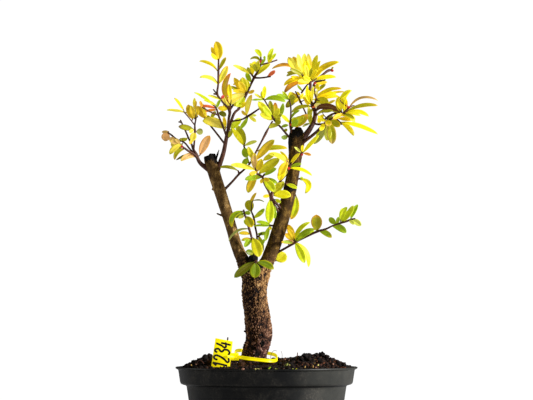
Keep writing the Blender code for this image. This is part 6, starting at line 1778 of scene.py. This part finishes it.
@dataclass
class Soil:
    """The peat mix: a lumpy bed, loose crumbs and chips, ragged clods and a few fibres."""

    tie: Tie
    seed: int = 11
    rim_radius: float = 0.0862
    edge_height: float = 0.1432
    bed_from: float = 0.1405
    bed_lumps: float = 0.0009
    bed_sunk: float = 0.0014
    mound_heights: tuple = (0.1460, 0.1560)
    flanks: tuple = (0.056, 0.074)
    trunk_x: float = -0.0123
    trunk_clear: float = 0.0150
    # What crumbs keep off: the strap, as shares of its loop, and the plate with the ground before it
    strap_clear: tuple = (0.86, 1.12)
    plate_x: tuple = (-0.058, -0.028)
    plate_y: tuple = (-0.050, -0.034)
    before_x: tuple = (-0.057, -0.034)
    before_y: float = -0.046
    over_strap: float = 0.0012
    over_plate: float = 0.0016
    # How loose grains are drawn: the share of small ones, the tries for a free place, where the
    # front begins, the share of places kept behind it, and how far a grain stands out of the bed
    smallness: float = 2.2
    tries: int = 40
    front_from: float = -0.04
    kept_behind: float = 0.75
    standing: float = 0.30
    crumb_kinds: tuple[GrainKind, ...] = (
        GrainKind(1500, (0.0009, 0.0026), (0.9, 0.8), (Tint.DARK_PEAT, Tint.PEAT, Tint.HUMUS)),
        GrainKind(150, (0.0014, 0.0034), (0.5, 0.35), (Tint.BARK_CHIP, Tint.HUMUS, Tint.BROWN)),
        GrainKind(95, (0.0005, 0.0013), (0.5, 0.35), (Tint.PINK_TAN, Tint.TAN, Tint.BARK_CHIP)),
    )
    clod_kind: GrainKind = GrainKind(
        70, (0.0022, 0.0042), (0.85, 0.7), (Tint.DARK_PEAT, Tint.PEAT, Tint.PEAT, Tint.HUMUS)
    )
    clod_ragged: float = 0.34
    mound_shares: tuple = (0.85, 0.8)
    draw: random.Random = field(init=False)
    surface: BVHTree = field(init=False)

    def __post_init__(self) -> None:
        """Start the random draws, and keep the CAD soil's surface to set crumbs on."""
        self.draw = random.Random(self.seed)
        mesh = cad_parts["soil"].data
        verts = [vert.co.copy() for vert in mesh.vertices]
        self.surface = BVHTree.FromPolygons(verts, [tuple(face.vertices) for face in mesh.polygons])

    def build(self, palette: Palette) -> None:
        """Build the soil in place of its CAD node."""
        self.bed(palette.earth)
        self.crumbs(palette.earth)
        self.clods(palette.earth)
        self.fibres(palette.twig)

    def sunk(self, x: float, z: float) -> float:
        """Return how far the loose bed lies under the frame's soil, more so on the mounds' flanks."""
        return self.bed_sunk * (smoothstep(z, *self.mound_heights) + smoothstep(abs(x), *self.flanks))

    def top(self, x: float, y: float) -> float:
        """Return the height of the soil at x, y."""
        hit = self.surface.ray_cast(Vector((x, y, 0.3)), Vector((0.0, 0.0, -1.0)))[0]
        height = hit.z if hit else self.edge_height
        return height - self.sunk(x, height)

    def bed(self, earth: bpy.types.Material) -> None:
        """Build the bed: the CAD soil, divided finely and pushed up and down in lumps."""
        obj = copy_of_node("soil", "soil_bed")
        apply_modifier(obj, "SUBSURF", subdivision_type="SIMPLE", levels=2, render_levels=2)
        places = points_of(obj)
        tints = np.zeros((len(places), 4))
        dark = np.array(Tint.DARK_PEAT.linear())
        brown = np.array(Tint.PEAT.linear())
        for k, place in enumerate(places):
            point = Vector(place.tolist())
            lump = noise.noise(point * 330.0) + 0.6 * noise.noise(point * 800.0)
            if point.z > self.bed_from and math.hypot(point.x, point.y) < self.rim_radius:
                places[k][2] += self.bed_lumps * lump - self.sunk(point.x, point.z)
            tints[k] = dark + (brown - dark) * min(max(0.5 + lump, 0.0), 1.0)
        move_points(obj, places)
        paint(obj, "tint", tints)
        dress(obj, earth)
        hand_over(obj, "soil", "soil")

    def free(self, x: float, y: float, size: float) -> bool:
        """Say whether a crumb of that size may lie at x, y, clear of the wood and the tie."""
        if math.hypot(x - self.trunk_x, y) < self.trunk_clear + 0.4 * size:
            return False
        centre, half = self.tie.loop_centre, self.tie.loop_half
        reach = max(abs(x / MM - centre[0]) / half[0], abs(y / MM - centre[1]) / half[1])
        if self.strap_clear[0] < reach < self.strap_clear[1] and size > self.over_strap:
            return False
        in_plate = self.plate_x[0] < x < self.plate_x[1] and self.plate_y[0] < y < self.plate_y[1]
        before = self.before_x[0] < x < self.before_x[1] and y < self.before_y and size > self.over_plate
        return not (in_plate or before)

    def scatter(self, grains: Grains, kind: GrainKind) -> None:
        """Lay grains of one kind at free places drawn from the bed, more of them towards the front."""
        least, most = kind.sizes
        for _ in range(kind.number):
            size = least + (most - least) * self.draw.random() ** self.smallness
            for _ in range(self.tries):
                angle = self.draw.uniform(0.0, math.tau)
                radius = (self.rim_radius - size) * math.sqrt(self.draw.random())
                x, y = radius * math.cos(angle), radius * math.sin(angle)
                in_reach = y < self.front_from or self.draw.random() < self.kept_behind
                if in_reach and self.free(x, y, size):
                    break
            at = Vector((x, y, self.top(x, y) + (self.standing - grains.ragged) * size))
            grains.add(at, size, kind.shares, self.draw.choice(kind.colours))

    def crumbs(self, earth: bpy.types.Material) -> None:
        """Scatter crumbs, chips and flecks over the bed, and lay the front edge's own bits."""
        grains = Grains("soil_crumbs", self.draw, 2)
        for kind in self.crumb_kinds:
            self.scatter(grains, kind)
        for x, y, z, size, shares, tint in FRONT_BITS:
            grains.add(Vector((x, y, z)) * MM, size * MM, shares, Tint[tint])
        grains.finish(earth)

    def clods(self, earth: bpy.types.Material) -> None:
        """Lay larger, ragged clods of peat over the bed, some at the mounds' known tops."""
        grains = Grains("soil_clods", self.draw, 3, self.clod_ragged)
        for x, y, z, size in MOUND_CLODS:
            tint = self.draw.choice((Tint.DARK_PEAT, Tint.PEAT))
            grains.add(Vector((x, y, z)) * MM, size * MM, self.mound_shares, tint)
        self.scatter(grains, self.clod_kind)
        grains.finish(earth)

    @staticmethod
    def fibres(bark: bpy.types.Material) -> None:
        """Stand thin sticks and root fibres in the soil."""
        routes = [[(Vector(point), radius) for point in route] for radius, route in FIBRES]
        made = tubes("soil_fibres", routes, 6, 2)
        dress(made, bark)
        hand_over(made, "soil", "soil")


@dataclass
class Studio:
    """The camera, the lights, the white surroundings and the pale floor."""

    distance: float = 6.5
    height: float = 0.3103
    frame_width: float = 0.533
    sensor: float = 36.0
    fill: float = 0.125
    key_place: tuple = (2.7, -0.9, 0.9)
    key_power: float = 128.0
    left_place: tuple = (-2.3, 0.5, 0.8)
    left_power: float = 11.0
    light_size: float = 0.5
    aim_height: float = 0.28
    floor_radius: float = 1.6

    def build(self, palette: Palette) -> None:
        """Set up everything that isn't part of the object."""
        self.camera()
        self.surroundings()
        self.light("key_light", Vector(self.key_place), self.key_power)
        self.light("left_light", Vector(self.left_place), self.left_power)
        self.floor(palette.floor)

    def camera(self) -> None:
        """Place the level camera in front of the object."""
        data = bpy.data.cameras.new("camera")
        data.sensor_width = self.sensor
        data.lens = self.sensor * self.distance / self.frame_width
        data.clip_start = 0.1
        data.clip_end = 50.0
        camera = new_object("camera", data)
        camera.location = (0.0, -self.distance, self.height)
        camera.rotation_euler = (math.radians(90.0), 0.0, 0.0)
        bpy.context.scene.camera = camera
        bpy.context.scene.view_settings.view_transform = "Standard"

    def surroundings(self) -> None:
        """Make the surroundings pure white to the eye and a softer white as light."""
        world = bpy.data.worlds.new("white_studio")
        world.use_nodes = True
        bpy.context.scene.world = world
        graph = Graph(world.node_tree)
        world.node_tree.nodes.clear()
        seen, light = [
            graph.node("ShaderNodeBackground", {"Color": colour, "Strength": strength}).outputs[0]
            for colour, strength in (((1.0, 1.0, 1.0, 1.0), 1.05), ((1.0, 0.99, 0.97, 1.0), self.fill))
        ]
        path = graph.node("ShaderNodeLightPath").outputs["Is Camera Ray"]
        both = graph.node("ShaderNodeMixShader", {0: path, 1: light, 2: seen})
        graph.node("ShaderNodeOutputWorld", {"Surface": both.outputs[0]})

    def light(self, name: str, place: Vector, power: float) -> None:
        """Add a soft light that points at the middle of the tree."""
        data = bpy.data.lights.new(name, "AREA")
        data.shape = "DISK"
        data.size = self.light_size
        data.energy = power
        lamp = new_object(name, data)
        lamp.location = place
        aim = Vector((0.0, 0.0, self.aim_height)) - place
        lamp.rotation_euler = aim.to_track_quat("-Z", "Y").to_euler()

    def floor(self, material: bpy.types.Material) -> None:
        """Lay the pale floor that the pot stands on."""
        clear_selection()
        bpy.ops.mesh.primitive_circle_add(
            vertices=128, radius=self.floor_radius, fill_type="NGON", location=ORIGIN
        )
        floor = bpy.context.object
        floor.name = "floor"
        floor.data.materials.append(material)


def main() -> None:
    """Build every piece in order."""
    logging.basicConfig(level=logging.INFO, format="%(name)s: %(message)s")
    palette = Palette()
    Studio().build(palette)
    blade = Blade()
    Pot().build(palette)
    tie = Tie()
    tie.build(palette)
    Wood().build(palette)
    Soil(tie).build(palette)
    for name, (stems, rows) in SHOOTS.items():
        leaves = [Leaf(*row) for row in (*rows, *MORE_LEAVES.get(name, ()))]
        Shoot(name, stems, leaves, MORE_TWIGS.get(name, ())).build(blade, palette)


if __name__ == "__main__":
    main()
